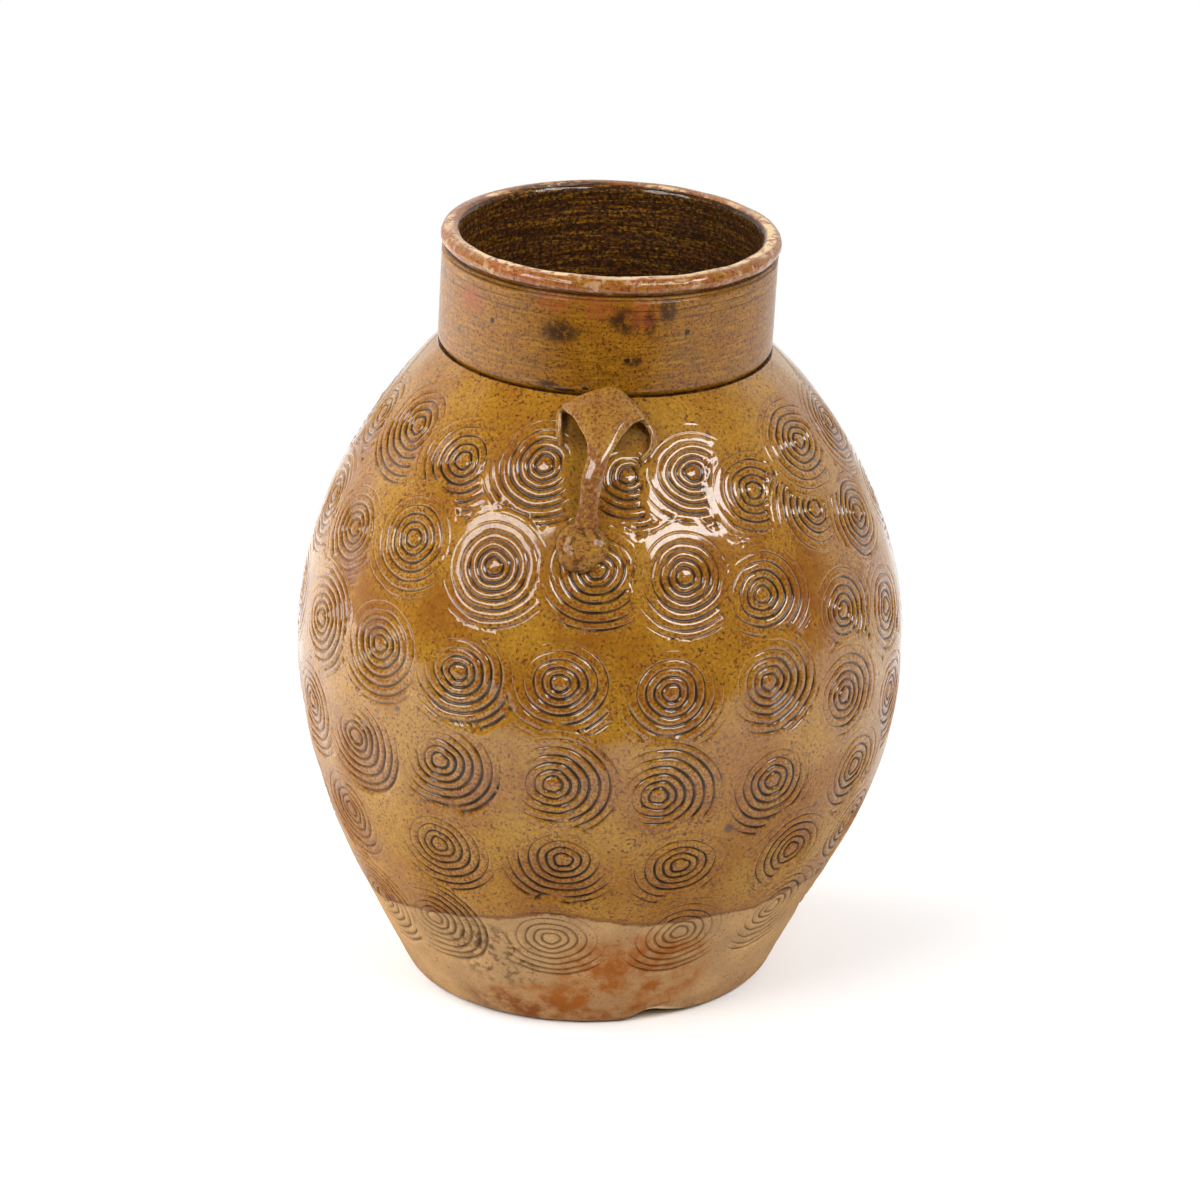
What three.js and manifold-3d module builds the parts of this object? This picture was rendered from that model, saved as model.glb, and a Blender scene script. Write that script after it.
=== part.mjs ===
// Stoneware storage jar: a floor slab, a body thrown in two halves and luted at the belly, an upright neck
// with a rolled rim, and one strap lug on the front shoulder whose tail is sealed under a pellet of clay.
// Millimetres, +Z up. The origin is on the ground under the centre of the belly, and the front is -Y.

import * as THREE from 'three';
import { mergeVertices } from 'three/addons/utils/BufferGeometryUtils.js';
import Module from 'manifold-3d';

// Heights, from the ground up: to the widest level, on to the foot of the neck, and the neck below its rim
const bellyHeight = 137;
const shoulderRise = 117;
const neckHeight = 39.4;

// Outer radii
const footRadius = 71.3;
const bellyRadius = 118;
const neckRadius = 64;

// How the wall swells: leans in degrees, and how far each one carries along the wall
const footLean = 24;
const footSweep = 49;
const bellySweepDown = 62;
const bellySweepUp = 12;
const shoulderSlope = 45;
const shoulderSweep = 72;

// Thicknesses
const floorThickness = 9;
const wallThickness = 7;
const neckThickness = 6.5;

// Edges and joints
const footRound = 4;
const floorCove = 8;
const bellyBevel = 3;
const neckGrooveDepth = 1.6;
const neckGrooveHeight = 2.4;

// Rolled rim on top of the neck, and the thin cordon just below it
const rimHeight = 6.6;
const rimOverhang = 1;
const rimUndercut = 1.2;
const rimInset = 0.4;
const cordonDrop = 1.8;
const cordonDepth = 0.6;
const cordonHeight = 1.4;

// Drying and firing have pulled the jar out of true: the foot sits left of the belly, the neck leans right
const footDrift = -4.5;
const footDriftHeight = 110;
const neckDrift = 2;
const rimDrift = 4.5;
const neckTilt = 2.1;
const neckTiltSpan = 29;

// Strap lug: its length down the shoulder from the foot of the neck, its greatest lift off the clay, and the
// width of the end that is pressed under the neck
const lugLength = 53;
const lugLift = 11.8;
const lugWidth = 31;
const lugThickness = 3.6;
const lugGap = 0.3;

// The strap's ridge is a row of stations, in shares of those sizes: down the shoulder (run), off the clay
// (lift) and to the right (shift)
const lugRidge = [
  { run: -0.06, lift: 0.1, shift: 0.1 },
  { run: 0.05, lift: 0.34, shift: 0.1 },
  { run: 0.23, lift: 0.71, shift: 0.07 },
  { run: 0.38, lift: 0.92, shift: 0.03 },
  { run: 0.51, lift: 1, shift: -0.02 },
  { run: 0.66, lift: 0.83, shift: -0.09 },
  { run: 0.83, lift: 0.25, shift: -0.14 },
  { run: 1, lift: 0.12, shift: -0.19 },
];

// At each station the strap reaches to the left and right of its ridge, in shares of the width. A high fold
// keeps the panel flat and bends it late.
const lugReach = [
  { left: 0.63, right: 0.36, fold: 1.3 },
  { left: 0.61, right: 0.39, fold: 1.5 },
  { left: 0.52, right: 0.29, fold: 3 },
  { left: 0.24, right: 0.15, fold: 3 },
  { left: 0.09, right: 0.08, fold: 2 },
  { left: 0.11, right: 0.11, fold: 2 },
  { left: 0.13, right: 0.13, fold: 2 },
  { left: 0.14, right: 0.14, fold: 2 },
];

// The edges bend back to the clay, in shares of the lift, and lie further down, in shares of the length.
// From the fifth station on the strap is flat.
const lugDroop = [
  { left: 0.51, right: 0.42, trail: 0.17 },
  { left: 0.64, right: 0.6, trail: 0.15 },
  { left: 0.85, right: 0.17, trail: 0.06 },
  { left: 0.25, right: 0.08, trail: 0 },
  { left: 0, right: 0, trail: 0 },
  { left: 0, right: 0, trail: 0 },
  { left: 0, right: 0, trail: 0 },
  { left: 0, right: 0, trail: 0 },
];

// Pellet over the tail of the lug, its centre this far past the tail's end and to the left of it
const pelletRadius = 9.5;
const pelletHeight = 6.5;
const pelletPast = 5.5;
const pelletAside = 0.9;

// Ring stamp: its radius, how deep its middle is pressed, how far its rings stand out, the lean in degrees of
// one that leans fully, and the share of the wall's roundness that the soft clay does not give way to
const stampRadius = 17;
const stampPress = 1.1;
const stampRelief = 0.9;
const stampLean = 4.6;
const stampStiffness = 0.7;

// The rings of a print in the solid, from the middle out, as shares of that radius, each a groove or a crest
const stampRings = [
  { share: 0, sides: 1, groove: false },
  { share: 0.24, sides: 6, groove: true },
  { share: 0.48, sides: 7, groove: false },
  { share: 0.74, sides: 9, groove: true },
];
const stampEdgeSides = 9;

// Prints of the stamp that can be seen from the front, row by row from the shoulder down: azimuth in degrees,
// from the front towards +X, height as a share of the body's, the side that is pressed deeper, in degrees
// from the right towards the top, and the share of the full lean
const frontPrints = [
  [-82, 0.906, -100, 0.3], [-58.9, 0.925, -120, 0.5], [-37.4, 0.907, -110, 0.4],
  [-14.8, 0.918, -115, 0.5], [7, 0.907, -70, 0.3], [24.2, 0.904, -95, 0.4], [39.4, 0.867, -80, 0.2],
  [55.6, 0.817, 130, 0.5], [72, 0.776, 180, 0.4], [62.5, 0.902, 180, 0.3], [86, 0.886, 190, 0.4],
  [-82, 0.78, -90, 0.2], [-63.4, 0.772, -100, 0.2], [-43.3, 0.795, -100, 0.2], [-22.5, 0.783, -60, 0.3],
  [-0.7, 0.787, -90, 0.4], [17.8, 0.773, -80, 0.3], [34.2, 0.731, -40, 0.4], [54.7, 0.669, -30, 0.4],
  [72, 0.63, -60, 0.3],
  [-67, 0.626, 0, 0.6], [-45.8, 0.638, -80, 0.4], [-27.2, 0.629, -55, 0.8], [-7.4, 0.629, -60, 0.5],
  [13.3, 0.611, -85, 0.4], [33, 0.604, -45, 0.6], [52, 0.543, 10, 0.4], [72, 0.492, -60, 0.4],
  [-71, 0.48, -60, 0.4], [-52.2, 0.476, -55, 0.9], [-30.8, 0.484, -50, 0.9], [-8.7, 0.47, -15, 0.6],
  [10.9, 0.45, 5, 0.6], [34.1, 0.445, -85, 0.5], [57.5, 0.411, -60, 0.4],
  [-59.5, 0.331, -120, 0.4], [-33.1, 0.336, -60, 0.5], [-6.9, 0.34, -110, 0.7], [16.4, 0.322, -90, 0.3],
  [43.3, 0.302, 180, 0.2], [65, 0.295, -90, 0.3],
  [-62, 0.165, -20, 0.5], [-40.4, 0.177, -20, 1], [-9.7, 0.181, -80, 0.4], [20.4, 0.185, -90, 0.3],
  [47, 0.185, -30, 0.4],
];

// The same rows go on round the back, evenly spaced and leaning alike
const backPrints = [
  { level: 0.898, first: 106, last: 259, count: 8 },
  { level: 0.764, first: 92, last: 258, count: 9 },
  { level: 0.622, first: 93, last: 272, count: 9 },
  { level: 0.48, first: 92, last: 270, count: 9 },
  { level: 0.339, first: 84, last: 277, count: 8 },
  { level: 0.181, first: 74, last: 270, count: 7 },
];
const backToward = -60;
const backLean = 0.45;

// Facets
const roundSteps = 64;
const wallSteps = 5;
const sheetSteps = 150;
const plainStep = 15;
const rimSteps = 8;
const lugSteps = 24;
const lugAcross = 10;
const pelletSteps = 6;
const pelletRoundSteps = 24;

const neckRootHeight = bellyHeight + shoulderRise;
const rimFootHeight = neckRootHeight + neckHeight;
const height = rimFootHeight + rimHeight;

const wasm = await Module();
wasm.setup();

const glaze = { color: 0xa87433, roughness: 0.32, metalness: 0 };
const darkGlaze = { color: 0x8a5a26, roughness: 0.3, metalness: 0 };
const bareClay = { color: 0xb08a5c, roughness: 0.85, metalness: 0 };

// Points in a profile are (radius, height).
function at(radius, level) {
  return new THREE.Vector2(radius, level);
}

function lean(degrees) {
  const angle = THREE.MathUtils.degToRad(degrees);
  return at(Math.sin(angle), Math.cos(angle));
}

// Outer curve of each half of the body
const bellyPoint = at(bellyRadius, bellyHeight);
const neckRoot = at(neckRadius, neckRootHeight);
const lowerCurve = new THREE.CubicBezierCurve(
  at(footRadius, 0),
  at(footRadius, 0).addScaledVector(lean(footLean), footSweep),
  at(bellyRadius, bellyHeight - bellySweepDown),
  bellyPoint,
);
const upperCurve = new THREE.CubicBezierCurve(
  bellyPoint,
  at(bellyRadius, bellyHeight + bellySweepUp),
  neckRoot.clone().addScaledVector(lean(-shoulderSlope), -shoulderSweep),
  neckRoot,
);

// A point on a curve, moved out of the clay (positive) or into it (negative).
function offsetPoint(curve, t, distance) {
  const along = curve.getTangent(t);
  return curve.getPoint(t).add(at(along.y, -along.x).multiplyScalar(distance));
}

// The parameter at which a curve, so moved, reaches a height.
function parameterAtHeight(curve, level, distance) {
  let low = 0;
  let high = 1;
  for (let step = 0; step < 40; step++) {
    const middle = (low + high) / 2;
    if (offsetPoint(curve, middle, distance).y < level) {
      low = middle;
    } else {
      high = middle;
    }
  }
  return (low + high) / 2;
}

function stretch(curve, from, to, distance, steps) {
  const points = [];
  for (let step = 0; step <= steps; step++) {
    points.push(offsetPoint(curve, THREE.MathUtils.lerp(from, to, step / steps), distance));
  }
  return points;
}

function smooth(value) {
  return THREE.MathUtils.smoothstep(value, 0, 1);
}

// Carries every piece out of true together, so that pieces that meet still meet.
function settle(geometry) {
  const position = geometry.getAttribute('position');
  const tiltStart = neckRootHeight - neckTiltSpan;
  const tilt = Math.tan(THREE.MathUtils.degToRad(neckTilt));
  for (let index = 0; index < position.count; index++) {
    const x = position.getX(index);
    const z = position.getZ(index);
    const leaning = smooth((z - tiltStart) / neckTiltSpan);
    const upNeck = Math.max(0, z - neckRootHeight) / (height - neckRootHeight);
    const foot = footDrift * (1 - smooth(z / footDriftHeight));
    position.setX(index, x + foot + neckDrift * leaning + (rimDrift - neckDrift) * upNeck);
    position.setZ(index, z - tilt * leaning * x);
  }
  return geometry;
}

// A turned piece: the profile spun about +Z, starting at the front.
function turned(profile, steps = roundSteps) {
  const geometry = new THREE.LatheGeometry(profile, steps);
  geometry.rotateX(Math.PI / 2);
  return geometry;
}

function ring(profile) {
  return turned([...profile, profile[0]]);
}

function solidOf(geometry) {
  const bare = geometry.clone();
  bare.deleteAttribute('normal');
  bare.deleteAttribute('uv');
  const merged = mergeVertices(bare, 1e-4);
  const vertProperties = new Float32Array(merged.getAttribute('position').array);
  const triVerts = new Uint32Array(merged.getIndex().array);
  const mesh = new wasm.Mesh({ numProp: 3, vertProperties, triVerts });
  mesh.merge();
  return new wasm.Manifold(mesh);
}

function geometryOf(solid) {
  const { vertProperties, triVerts } = solid.getMesh();
  const geometry = new THREE.BufferGeometry();
  geometry.setAttribute('position', new THREE.BufferAttribute(vertProperties, 3));
  geometry.setIndex(new THREE.BufferAttribute(triVerts, 1));
  geometry.computeVertexNormals();
  return geometry;
}

function piece(name, geometry, finish) {
  const mesh = new THREE.Mesh(geometry, new THREE.MeshStandardMaterial(finish));
  mesh.name = name;
  return mesh;
}

// Floor slab, with the softened edge of the foot
function floorDisc() {
  const edgeTop = offsetPoint(lowerCurve, parameterAtHeight(lowerCurve, footRound, 0), 0);
  const edge = new THREE.QuadraticBezierCurve(at(footRadius - footRound, 0), at(footRadius, 0), edgeTop);
  const seat = offsetPoint(lowerCurve, parameterAtHeight(lowerCurve, floorThickness, 0), 0);
  return turned([at(0, 0), ...edge.getPoints(4), seat, at(0, floorThickness)]);
}

// Lower half of the body, its inner toe spread over the floor slab in a cove. Both halves reach out past the
// skin, which the stamped body cuts.
function lowerWall() {
  const seat = parameterAtHeight(lowerCurve, floorThickness, wallThickness);
  const coveTop = parameterAtHeight(lowerCurve, floorThickness + floorCove, -wallThickness);
  const coveEnd = offsetPoint(lowerCurve, coveTop, -wallThickness);
  const coveCorner = at(coveEnd.x - lean(footLean).x * floorCove, floorThickness);
  const coveToe = at(coveCorner.x - floorCove, floorThickness);
  const cove = new THREE.QuadraticBezierCurve(coveEnd, coveCorner, coveToe);
  return ring([
    ...stretch(lowerCurve, seat, 1, wallThickness, wallSteps).slice(0, -1),
    at(bellyRadius + wallThickness, bellyHeight - bellyBevel),
    at(bellyRadius - wallThickness, bellyHeight + bellyBevel),
    ...stretch(lowerCurve, 1, coveTop, -wallThickness, wallSteps),
    ...cove.getPoints(2).slice(1),
  ]);
}

// Upper half of the body, bevelled over the lower half, with a level seat for the neck
function upperWall() {
  const bevelTop = parameterAtHeight(upperCurve, bellyHeight + bellyBevel, -wallThickness);
  const innerWall = stretch(upperCurve, 1, bevelTop, -wallThickness, wallSteps);
  innerWall[wallSteps] = at(bellyRadius - wallThickness, bellyHeight + bellyBevel);
  return ring([
    at(bellyRadius + wallThickness, bellyHeight - bellyBevel),
    ...stretch(upperCurve, 0, 1, wallThickness, wallSteps).slice(1),
    at(neckRadius - neckThickness, neckRootHeight + wallThickness),
    at(neckRadius - neckThickness, neckRootHeight),
    ...innerWall,
  ]);
}

// Upright neck, with the groove at its foot and the cordon under the rim
function neckCollar() {
  const inner = neckRadius - neckThickness;
  const cordonTop = rimFootHeight - cordonDrop + cordonHeight;
  const cordonFoot = cordonTop - cordonHeight;
  const cordonHollow = neckRadius - cordonDepth;
  return ring([
    at(neckRadius - neckGrooveDepth, neckRootHeight),
    at(neckRadius, neckRootHeight + neckGrooveHeight),
    at(neckRadius, cordonFoot - cordonHeight),
    at(cordonHollow, cordonFoot),
    at(neckRadius, (cordonFoot + cordonTop) / 2),
    at(cordonHollow, cordonTop),
    at(neckRadius - rimUndercut, rimFootHeight),
    at(inner, rimFootHeight),
    at(inner, neckRootHeight),
  ]);
}

// Rolled rim: a coil pressed down on the neck, overhanging it a little
function rimRoll() {
  const inner = neckRadius - neckThickness;
  const halfWidth = (neckRadius + rimOverhang - (inner - rimInset)) / 2;
  const middle = at(inner - rimInset + halfWidth, rimFootHeight + rimHeight / 2);
  const roll = new THREE.EllipseCurve(
    middle.x,
    middle.y,
    halfWidth,
    rimHeight / 2,
    THREE.MathUtils.degToRad(-45),
    THREE.MathUtils.degToRad(200),
  );
  return ring([
    at(neckRadius - rimUndercut, rimFootHeight),
    ...roll.getPoints(rimSteps),
    at(inner, rimFootHeight),
  ]);
}

// The body's outer curve from the floor up, and how far up each place lies when the wall is laid flat on a
// sheet as wide as the belly is round, which keeps small shapes as they are
const wallRows = [];
for (const curve of [lowerCurve, upperCurve]) {
  for (let step = 0; step <= sheetSteps; step++) {
    const { x: radius, y: level } = curve.getPoint(step / sheetSteps);
    const last = wallRows[wallRows.length - 1] ?? { radius, level, run: 0, sheet: 0 };
    const length = Math.hypot(radius - last.radius, level - last.level);
    const run = last.run + length;
    wallRows.push({ radius, level, run, sheet: last.sheet + (length * bellyRadius) / radius });
  }
}
const wallTop = wallRows[wallRows.length - 1];

// The wall where one of its measures is known
function wallWhere(measure, value) {
  const above = wallRows.findIndex((row) => row[measure] > value);
  const next = above < 0 ? wallRows.length - 1 : Math.max(1, above);
  const [low, high] = [wallRows[next - 1], wallRows[next]];
  const share = (value - low[measure]) / (high[measure] - low[measure]);
  const between = (name) => THREE.MathUtils.lerp(low[name], high[name], share);
  const along = at(high.radius - low.radius, high.level - low.level).normalize();
  const [radius, level, run, sheet] = ['radius', 'level', 'run', 'sheet'].map(between);
  return { radius, level, run, sheet, along };
}

// A place on the wall by its azimuth and its run up the curve, moved off the clay
function onWall(azimuth, run, lift) {
  const { radius, level, along } = wallWhere('run', run);
  const reach = radius + lift * along.y;
  return new THREE.Vector3(reach * Math.sin(azimuth), -reach * Math.cos(azimuth), level - lift * along.x);
}

// Stands a piece that was made about +Z on a seat, facing outward.
function seated(geometry, seat, outward) {
  const turn = new THREE.Quaternion().setFromUnitVectors(new THREE.Vector3(0, 0, 1), outward);
  geometry.applyQuaternion(turn);
  return geometry.translate(seat.x, seat.y, seat.z);
}

// Where every print sits, front and back
function allPrints() {
  const prints = frontPrints.map((print) => [...print]);
  for (const { level, first, last, count } of backPrints) {
    for (let step = 0; step < count; step++) {
      const azimuth = THREE.MathUtils.lerp(first, last, step / (count - 1));
      prints.push([azimuth > 180 ? azimuth - 360 : azimuth, level, backToward, backLean]);
    }
  }
  return prints.map(([azimuth, level, toward, share]) => {
    const angle = THREE.MathUtils.degToRad(azimuth);
    const run = wallWhere('level', level * neckRootHeight).run;
    const slope = at(1, 0).rotateAround(at(0, 0), THREE.MathUtils.degToRad(toward));
    slope.multiplyScalar(Math.tan(THREE.MathUtils.degToRad(stampLean * share)));
    return { angle, run, slope, centre: onWall(angle, run, 0) };
  });
}

// A point of the stamped skin, which knows its place on the flat sheet
function skinPoint(azimuth, run, lift) {
  const turn = Math.PI * 2;
  const angle = azimuth - turn * Math.round(azimuth / turn);
  return { angle, run, lift, flat: at(angle * bellyRadius, wallWhere('run', run).sheet), bow: 0 };
}

// The points of one print: rings that go as deep as the leaning stamp went there, and its edge
function printPoints({ angle, run, slope }) {
  const points = [];
  for (const { share, sides, groove } of [...stampRings, { share: 1, sides: stampEdgeSides }]) {
    for (let side = 0; side < sides; side++) {
      const spot = at(stampRadius * share, 0).rotateAround(at(0, 0), ((side + share) * 2 * Math.PI) / sides);
      const fall = (stampStiffness * spot.lengthSq()) / (2 * bellyRadius);
      const depth = stampPress + spot.dot(slope) - fall;
      const lift = share < 1 ? -Math.max(0, groove ? depth : depth - stampRelief) : 0;
      const around = spot.x / wallWhere('run', run + spot.y).radius;
      points.push(skinPoint(angle + around, run + spot.y, lift));
    }
  }
  return points;
}

// All points of the skin: a later print wipes out what it covers, and plain wall lies between the prints
function skinPoints() {
  const prints = allPrints();
  const foot = wallWhere('level', floorThickness).run;
  const clear = (point, others, margin) => others.every(
    ({ centre }) => centre.distanceTo(onWall(point.angle, point.run, 0)) > stampRadius + margin,
  );
  const points = [];
  prints.forEach((print, index) => {
    const later = prints.slice(index + 1);
    points.push(...printPoints(print).filter((point) => clear(point, later, 1)));
  });
  const columns = Math.round((2 * Math.PI * bellyRadius) / plainStep);
  const rows = Math.round((wallTop.run - foot) / plainStep);
  for (let row = 1; row < rows; row++) {
    for (let column = 0; column < columns; column++) {
      const azimuth = ((column + (row % 2) / 2) * 2 * Math.PI) / columns;
      const point = skinPoint(azimuth, THREE.MathUtils.lerp(foot, wallTop.run, row / rows), 0);
      if (clear(point, prints, plainStep / 3)) {
        points.push(point);
      }
    }
  }
  for (const [end, bow] of [[foot, -1], [wallTop.run, 1]]) {
    for (let column = 0; column < roundSteps; column++) {
      points.push({ ...skinPoint((column * 2 * Math.PI) / roundSteps, end, 0), bow });
    }
  }
  return points;
}

// A triangle with the circle through its corners
function circled(places, a, b, c) {
  const [p, q] = [places[b].clone().sub(places[a]), places[c].clone().sub(places[a])];
  const scale = 2 * p.cross(q);
  const middle = at(
    (q.y * p.lengthSq() - p.y * q.lengthSq()) / scale,
    (p.x * q.lengthSq() - q.x * p.lengthSq()) / scale,
  );
  return { corners: [a, b, c], middle: middle.clone().add(places[a]), reach: middle.lengthSq() };
}

// Joins flat places by triangles whose circles hold no other place
function triangulate(places) {
  const far = 1e5;
  const all = [...places, at(-far, -far), at(far, -far), at(0, far)];
  let triangles = [circled(all, places.length, places.length + 1, places.length + 2)];
  places.forEach((place, index) => {
    const kept = [];
    const border = new Map();
    for (const triangle of triangles) {
      if (triangle.middle.distanceToSquared(place) >= triangle.reach) {
        kept.push(triangle);
        continue;
      }
      triangle.corners.forEach((corner, side) => {
        const next = triangle.corners[(side + 1) % 3];
        if (!border.delete(`${next} ${corner}`)) {
          border.set(`${corner} ${next}`, [corner, next]);
        }
      });
    }
    for (const [corner, next] of border.values()) {
      kept.push(circled(all, corner, next, index));
    }
    triangles = kept;
  });
  return triangles.map(({ corners }) => corners).filter((corners) => corners.every((c) => c < places.length));
}

// Joins the skin's points on the flat sheet, whose ends are bowed a little, with the points near the cut at
// the back repeated past it, and closes it over floor and neck to two last points
function joinedSkin(points) {
  const half = Math.PI * bellyRadius;
  const overlap = 3 * stampRadius;
  const places = [];
  const source = [];
  for (const shift of [0, -2 * half, 2 * half]) {
    points.forEach(({ flat, bow }, index) => {
      const across = flat.x + shift;
      if (Math.abs(across) < half + overlap) {
        places.push(at(across, flat.y + bow * (1 - (across / (2 * half)) ** 2)));
        source.push(index);
      }
    });
  }
  const faces = [];
  const ends = new Map();
  for (const corners of triangulate(places)) {
    const middle = corners.reduce((sum, corner) => sum + places[corner].x, 0) / 3;
    if (middle >= -half && middle < half) {
      const own = corners.map((corner) => source[corner]);
      faces.push(...own);
      own.forEach((corner, side) => {
        const next = own[(side + 1) % 3];
        ends.set(`${corner} ${next}`, [corner, next]);
      });
    }
  }
  for (const [corner, next] of ends.values()) {
    if (!ends.has(`${next} ${corner}`)) {
      faces.push(next, corner, points[corner].bow < 0 ? points.length : points.length + 1);
    }
  }
  return faces;
}

const skin = skinPoints();
const skinFaces = joinedSkin(skin);

function facetted(vertices, faces) {
  const geometry = new THREE.BufferGeometry();
  geometry.setAttribute('position', new THREE.BufferAttribute(new Float32Array(vertices), 3));
  geometry.setIndex(faces);
  return geometry;
}

// The stamped body as one solid, which can be grown
function stampedBody(extra) {
  const vertices = skin.flatMap(({ angle, run, lift }) => onWall(angle, run, lift + extra).toArray());
  return facetted([...vertices, 0, 0, floorThickness, 0, 0, neckRootHeight], skinFaces);
}

// A place on the lug: down the shoulder, off the clay and across.
function onShoulder(run, lift, shift) {
  const share = 1 - Math.max(0, run) / upperCurve.getLength();
  const along = upperCurve.getTangentAt(share);
  const spot = upperCurve.getPointAt(share).addScaledVector(along, -Math.min(0, run));
  spot.add(at(along.y, -along.x).multiplyScalar(lift));
  return new THREE.Vector3(shift, -spot.x, spot.y);
}

// Stations between the named ones lie on smooth curves through them, three measures to a curve.
function through(stations) {
  const measures = (station) => new THREE.Vector3(...Object.values(station));
  return new THREE.CatmullRomCurve3(stations.map(measures));
}

const ridgeCurve = through(lugRidge);
const reachCurve = through(lugReach);
const droopCurve = through(lugDroop);

// A place on the strap's middle sheet, which can be grown past its edges and its tail.
function lugMiddle(share, across, extra) {
  const ridge = ridgeCurve.getPoint(share);
  const reach = reachCurve.getPoint(share);
  const droop = droopCurve.getPoint(share);
  const [width, drop] = across < 0 ? [reach.x, droop.x] : [reach.y, droop.y];
  const bend = Math.abs(across) ** reach.z;
  const run = lugLength * (ridge.x + droop.z * bend) + extra * share;
  const lift = lugLift * (ridge.y - drop * bend);
  const shift = lugWidth * (ridge.z + width * across) + extra * across;
  return onShoulder(run, lift, shift);
}

// The strap: a curved sheet of stations, given its thickness both ways and closed round its border. It can
// be grown, and made to reach deeper, to cut the clay that is pressed over it.
function lugStrap(extra, deeper) {
  const middle = (share, across) => lugMiddle(share, across, extra);
  const rows = lugSteps + 1;
  const columns = lugAcross + 1;
  const vertices = [];
  const faces = [];
  for (const offset of [lugThickness / 2 + extra, -lugThickness / 2 - extra - deeper]) {
    for (let row = 0; row < rows; row++) {
      for (let column = 0; column < columns; column++) {
        const share = row / lugSteps;
        const across = (2 * column) / lugAcross - 1;
        const nudge = 1e-3;
        const above = middle(Math.max(0, share - nudge), across);
        const below = middle(Math.min(1, share + nudge), across);
        const over = middle(share, across + nudge).sub(middle(share, across - nudge));
        const normal = over.cross(above.sub(below)).normalize();
        vertices.push(...middle(share, across).addScaledVector(normal, offset).toArray());
      }
    }
  }
  const corner = (side, row, column) => side * rows * columns + row * columns + column;
  const quad = (a, b, c, d) => faces.push(a, b, c, a, c, d);
  const wall = (row, column, nextRow, nextColumn) => quad(
    corner(0, row, column),
    corner(0, nextRow, nextColumn),
    corner(1, nextRow, nextColumn),
    corner(1, row, column),
  );
  for (let row = 0; row < lugSteps; row++) {
    for (let column = 0; column < lugAcross; column++) {
      const face = [[row, column], [row + 1, column], [row + 1, column + 1], [row, column + 1]];
      quad(...face.map(([r, c]) => corner(0, r, c)));
      quad(...face.reverse().map(([r, c]) => corner(1, r, c)));
    }
    wall(row + 1, 0, row, 0);
    wall(row, lugAcross, row + 1, lugAcross);
  }
  for (let column = 0; column < lugAcross; column++) {
    wall(0, column, 0, column + 1);
    wall(lugSteps, column + 1, lugSteps, column);
  }
  return facetted(vertices, faces);
}

// The pellet: a flattened ball, bedded into the shoulder.
function lugPellet() {
  const dome = [];
  for (let step = 0; step <= pelletSteps; step++) {
    const angle = THREE.MathUtils.lerp(-Math.PI / 2, Math.PI / 2, step / pelletSteps);
    dome.push(at(pelletRadius * Math.cos(angle), pelletHeight * Math.sin(angle)));
  }
  const geometry = turned(dome, pelletRoundSteps);
  const tail = lugRidge[lugRidge.length - 1];
  const run = lugLength * tail.run + pelletPast;
  const shift = lugWidth * tail.shift - pelletAside;
  const seat = onShoulder(run, 0, shift);
  const outward = onShoulder(run, 1, shift).sub(seat);
  return seated(geometry, seat, outward);
}

// The neck, grown by the luting gap
function grownNeck() {
  const reach = neckRadius + lugGap;
  return turned([at(0, bellyHeight), at(reach, bellyHeight), at(reach, height), at(0, height)]);
}

const body = solidOf(settle(stampedBody(0)));
const stamped = (wall) => geometryOf(solidOf(settle(wall)).intersect(body));

const bodyCut = solidOf(settle(stampedBody(lugGap))).add(solidOf(settle(grownNeck())));
const strap = solidOf(settle(lugStrap(0, 0))).subtract(bodyCut);
const strapCut = solidOf(settle(lugStrap(lugGap, lugThickness)));
const pellet = solidOf(settle(lugPellet())).subtract(bodyCut).subtract(strapCut);

const jar = new THREE.Group();
jar.add(
  piece('floor_disc', settle(floorDisc()), bareClay),
  piece('lower_wall', stamped(lowerWall()), glaze),
  piece('upper_wall', stamped(upperWall()), glaze),
  piece('neck_collar', settle(neckCollar()), glaze),
  piece('rim_roll', settle(rimRoll()), darkGlaze),
  piece('lug_strap', geometryOf(strap), glaze),
  piece('lug_pellet', geometryOf(pellet), glaze),
);

export default jar;
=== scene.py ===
"""Ring-stamped stoneware storage jar, dressed around its packed model.

Metres, +Z up, the front towards -Y, in the frame of the packed model. Places on the wall are given by the
azimuth round the jar, from the front towards +X, and the run along the outer curve.
"""

import functools
import math

import bpy
import numpy as np
from bpy.props import FloatProperty, FloatVectorProperty, PointerProperty
from bpy.types import Operator, Panel, PropertyGroup
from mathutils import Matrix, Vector
from mathutils.geometry import delaunay_2d_cdt


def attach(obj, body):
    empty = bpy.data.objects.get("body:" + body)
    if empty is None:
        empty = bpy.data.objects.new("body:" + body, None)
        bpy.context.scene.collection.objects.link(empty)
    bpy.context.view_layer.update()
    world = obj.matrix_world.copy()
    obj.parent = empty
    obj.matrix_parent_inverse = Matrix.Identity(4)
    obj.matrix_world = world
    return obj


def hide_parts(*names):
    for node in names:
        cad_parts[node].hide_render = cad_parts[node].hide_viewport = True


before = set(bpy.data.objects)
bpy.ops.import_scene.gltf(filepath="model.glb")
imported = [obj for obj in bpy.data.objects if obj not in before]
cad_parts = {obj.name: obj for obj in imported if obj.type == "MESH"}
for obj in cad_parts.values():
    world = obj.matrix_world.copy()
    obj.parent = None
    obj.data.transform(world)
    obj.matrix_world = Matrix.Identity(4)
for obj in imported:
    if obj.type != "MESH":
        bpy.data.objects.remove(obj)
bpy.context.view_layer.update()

bl_info = {
    "name": "Stoneware Jar",
    "version": (1, 0, 0),
    "blender": (4, 5, 0),
    "location": "View3D > Sidebar > Jar",
    "description": "Builds a ring-stamped, one-lugged stoneware storage jar and its studio",
    "category": "Add Mesh",
}

MM = 0.001

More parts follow.
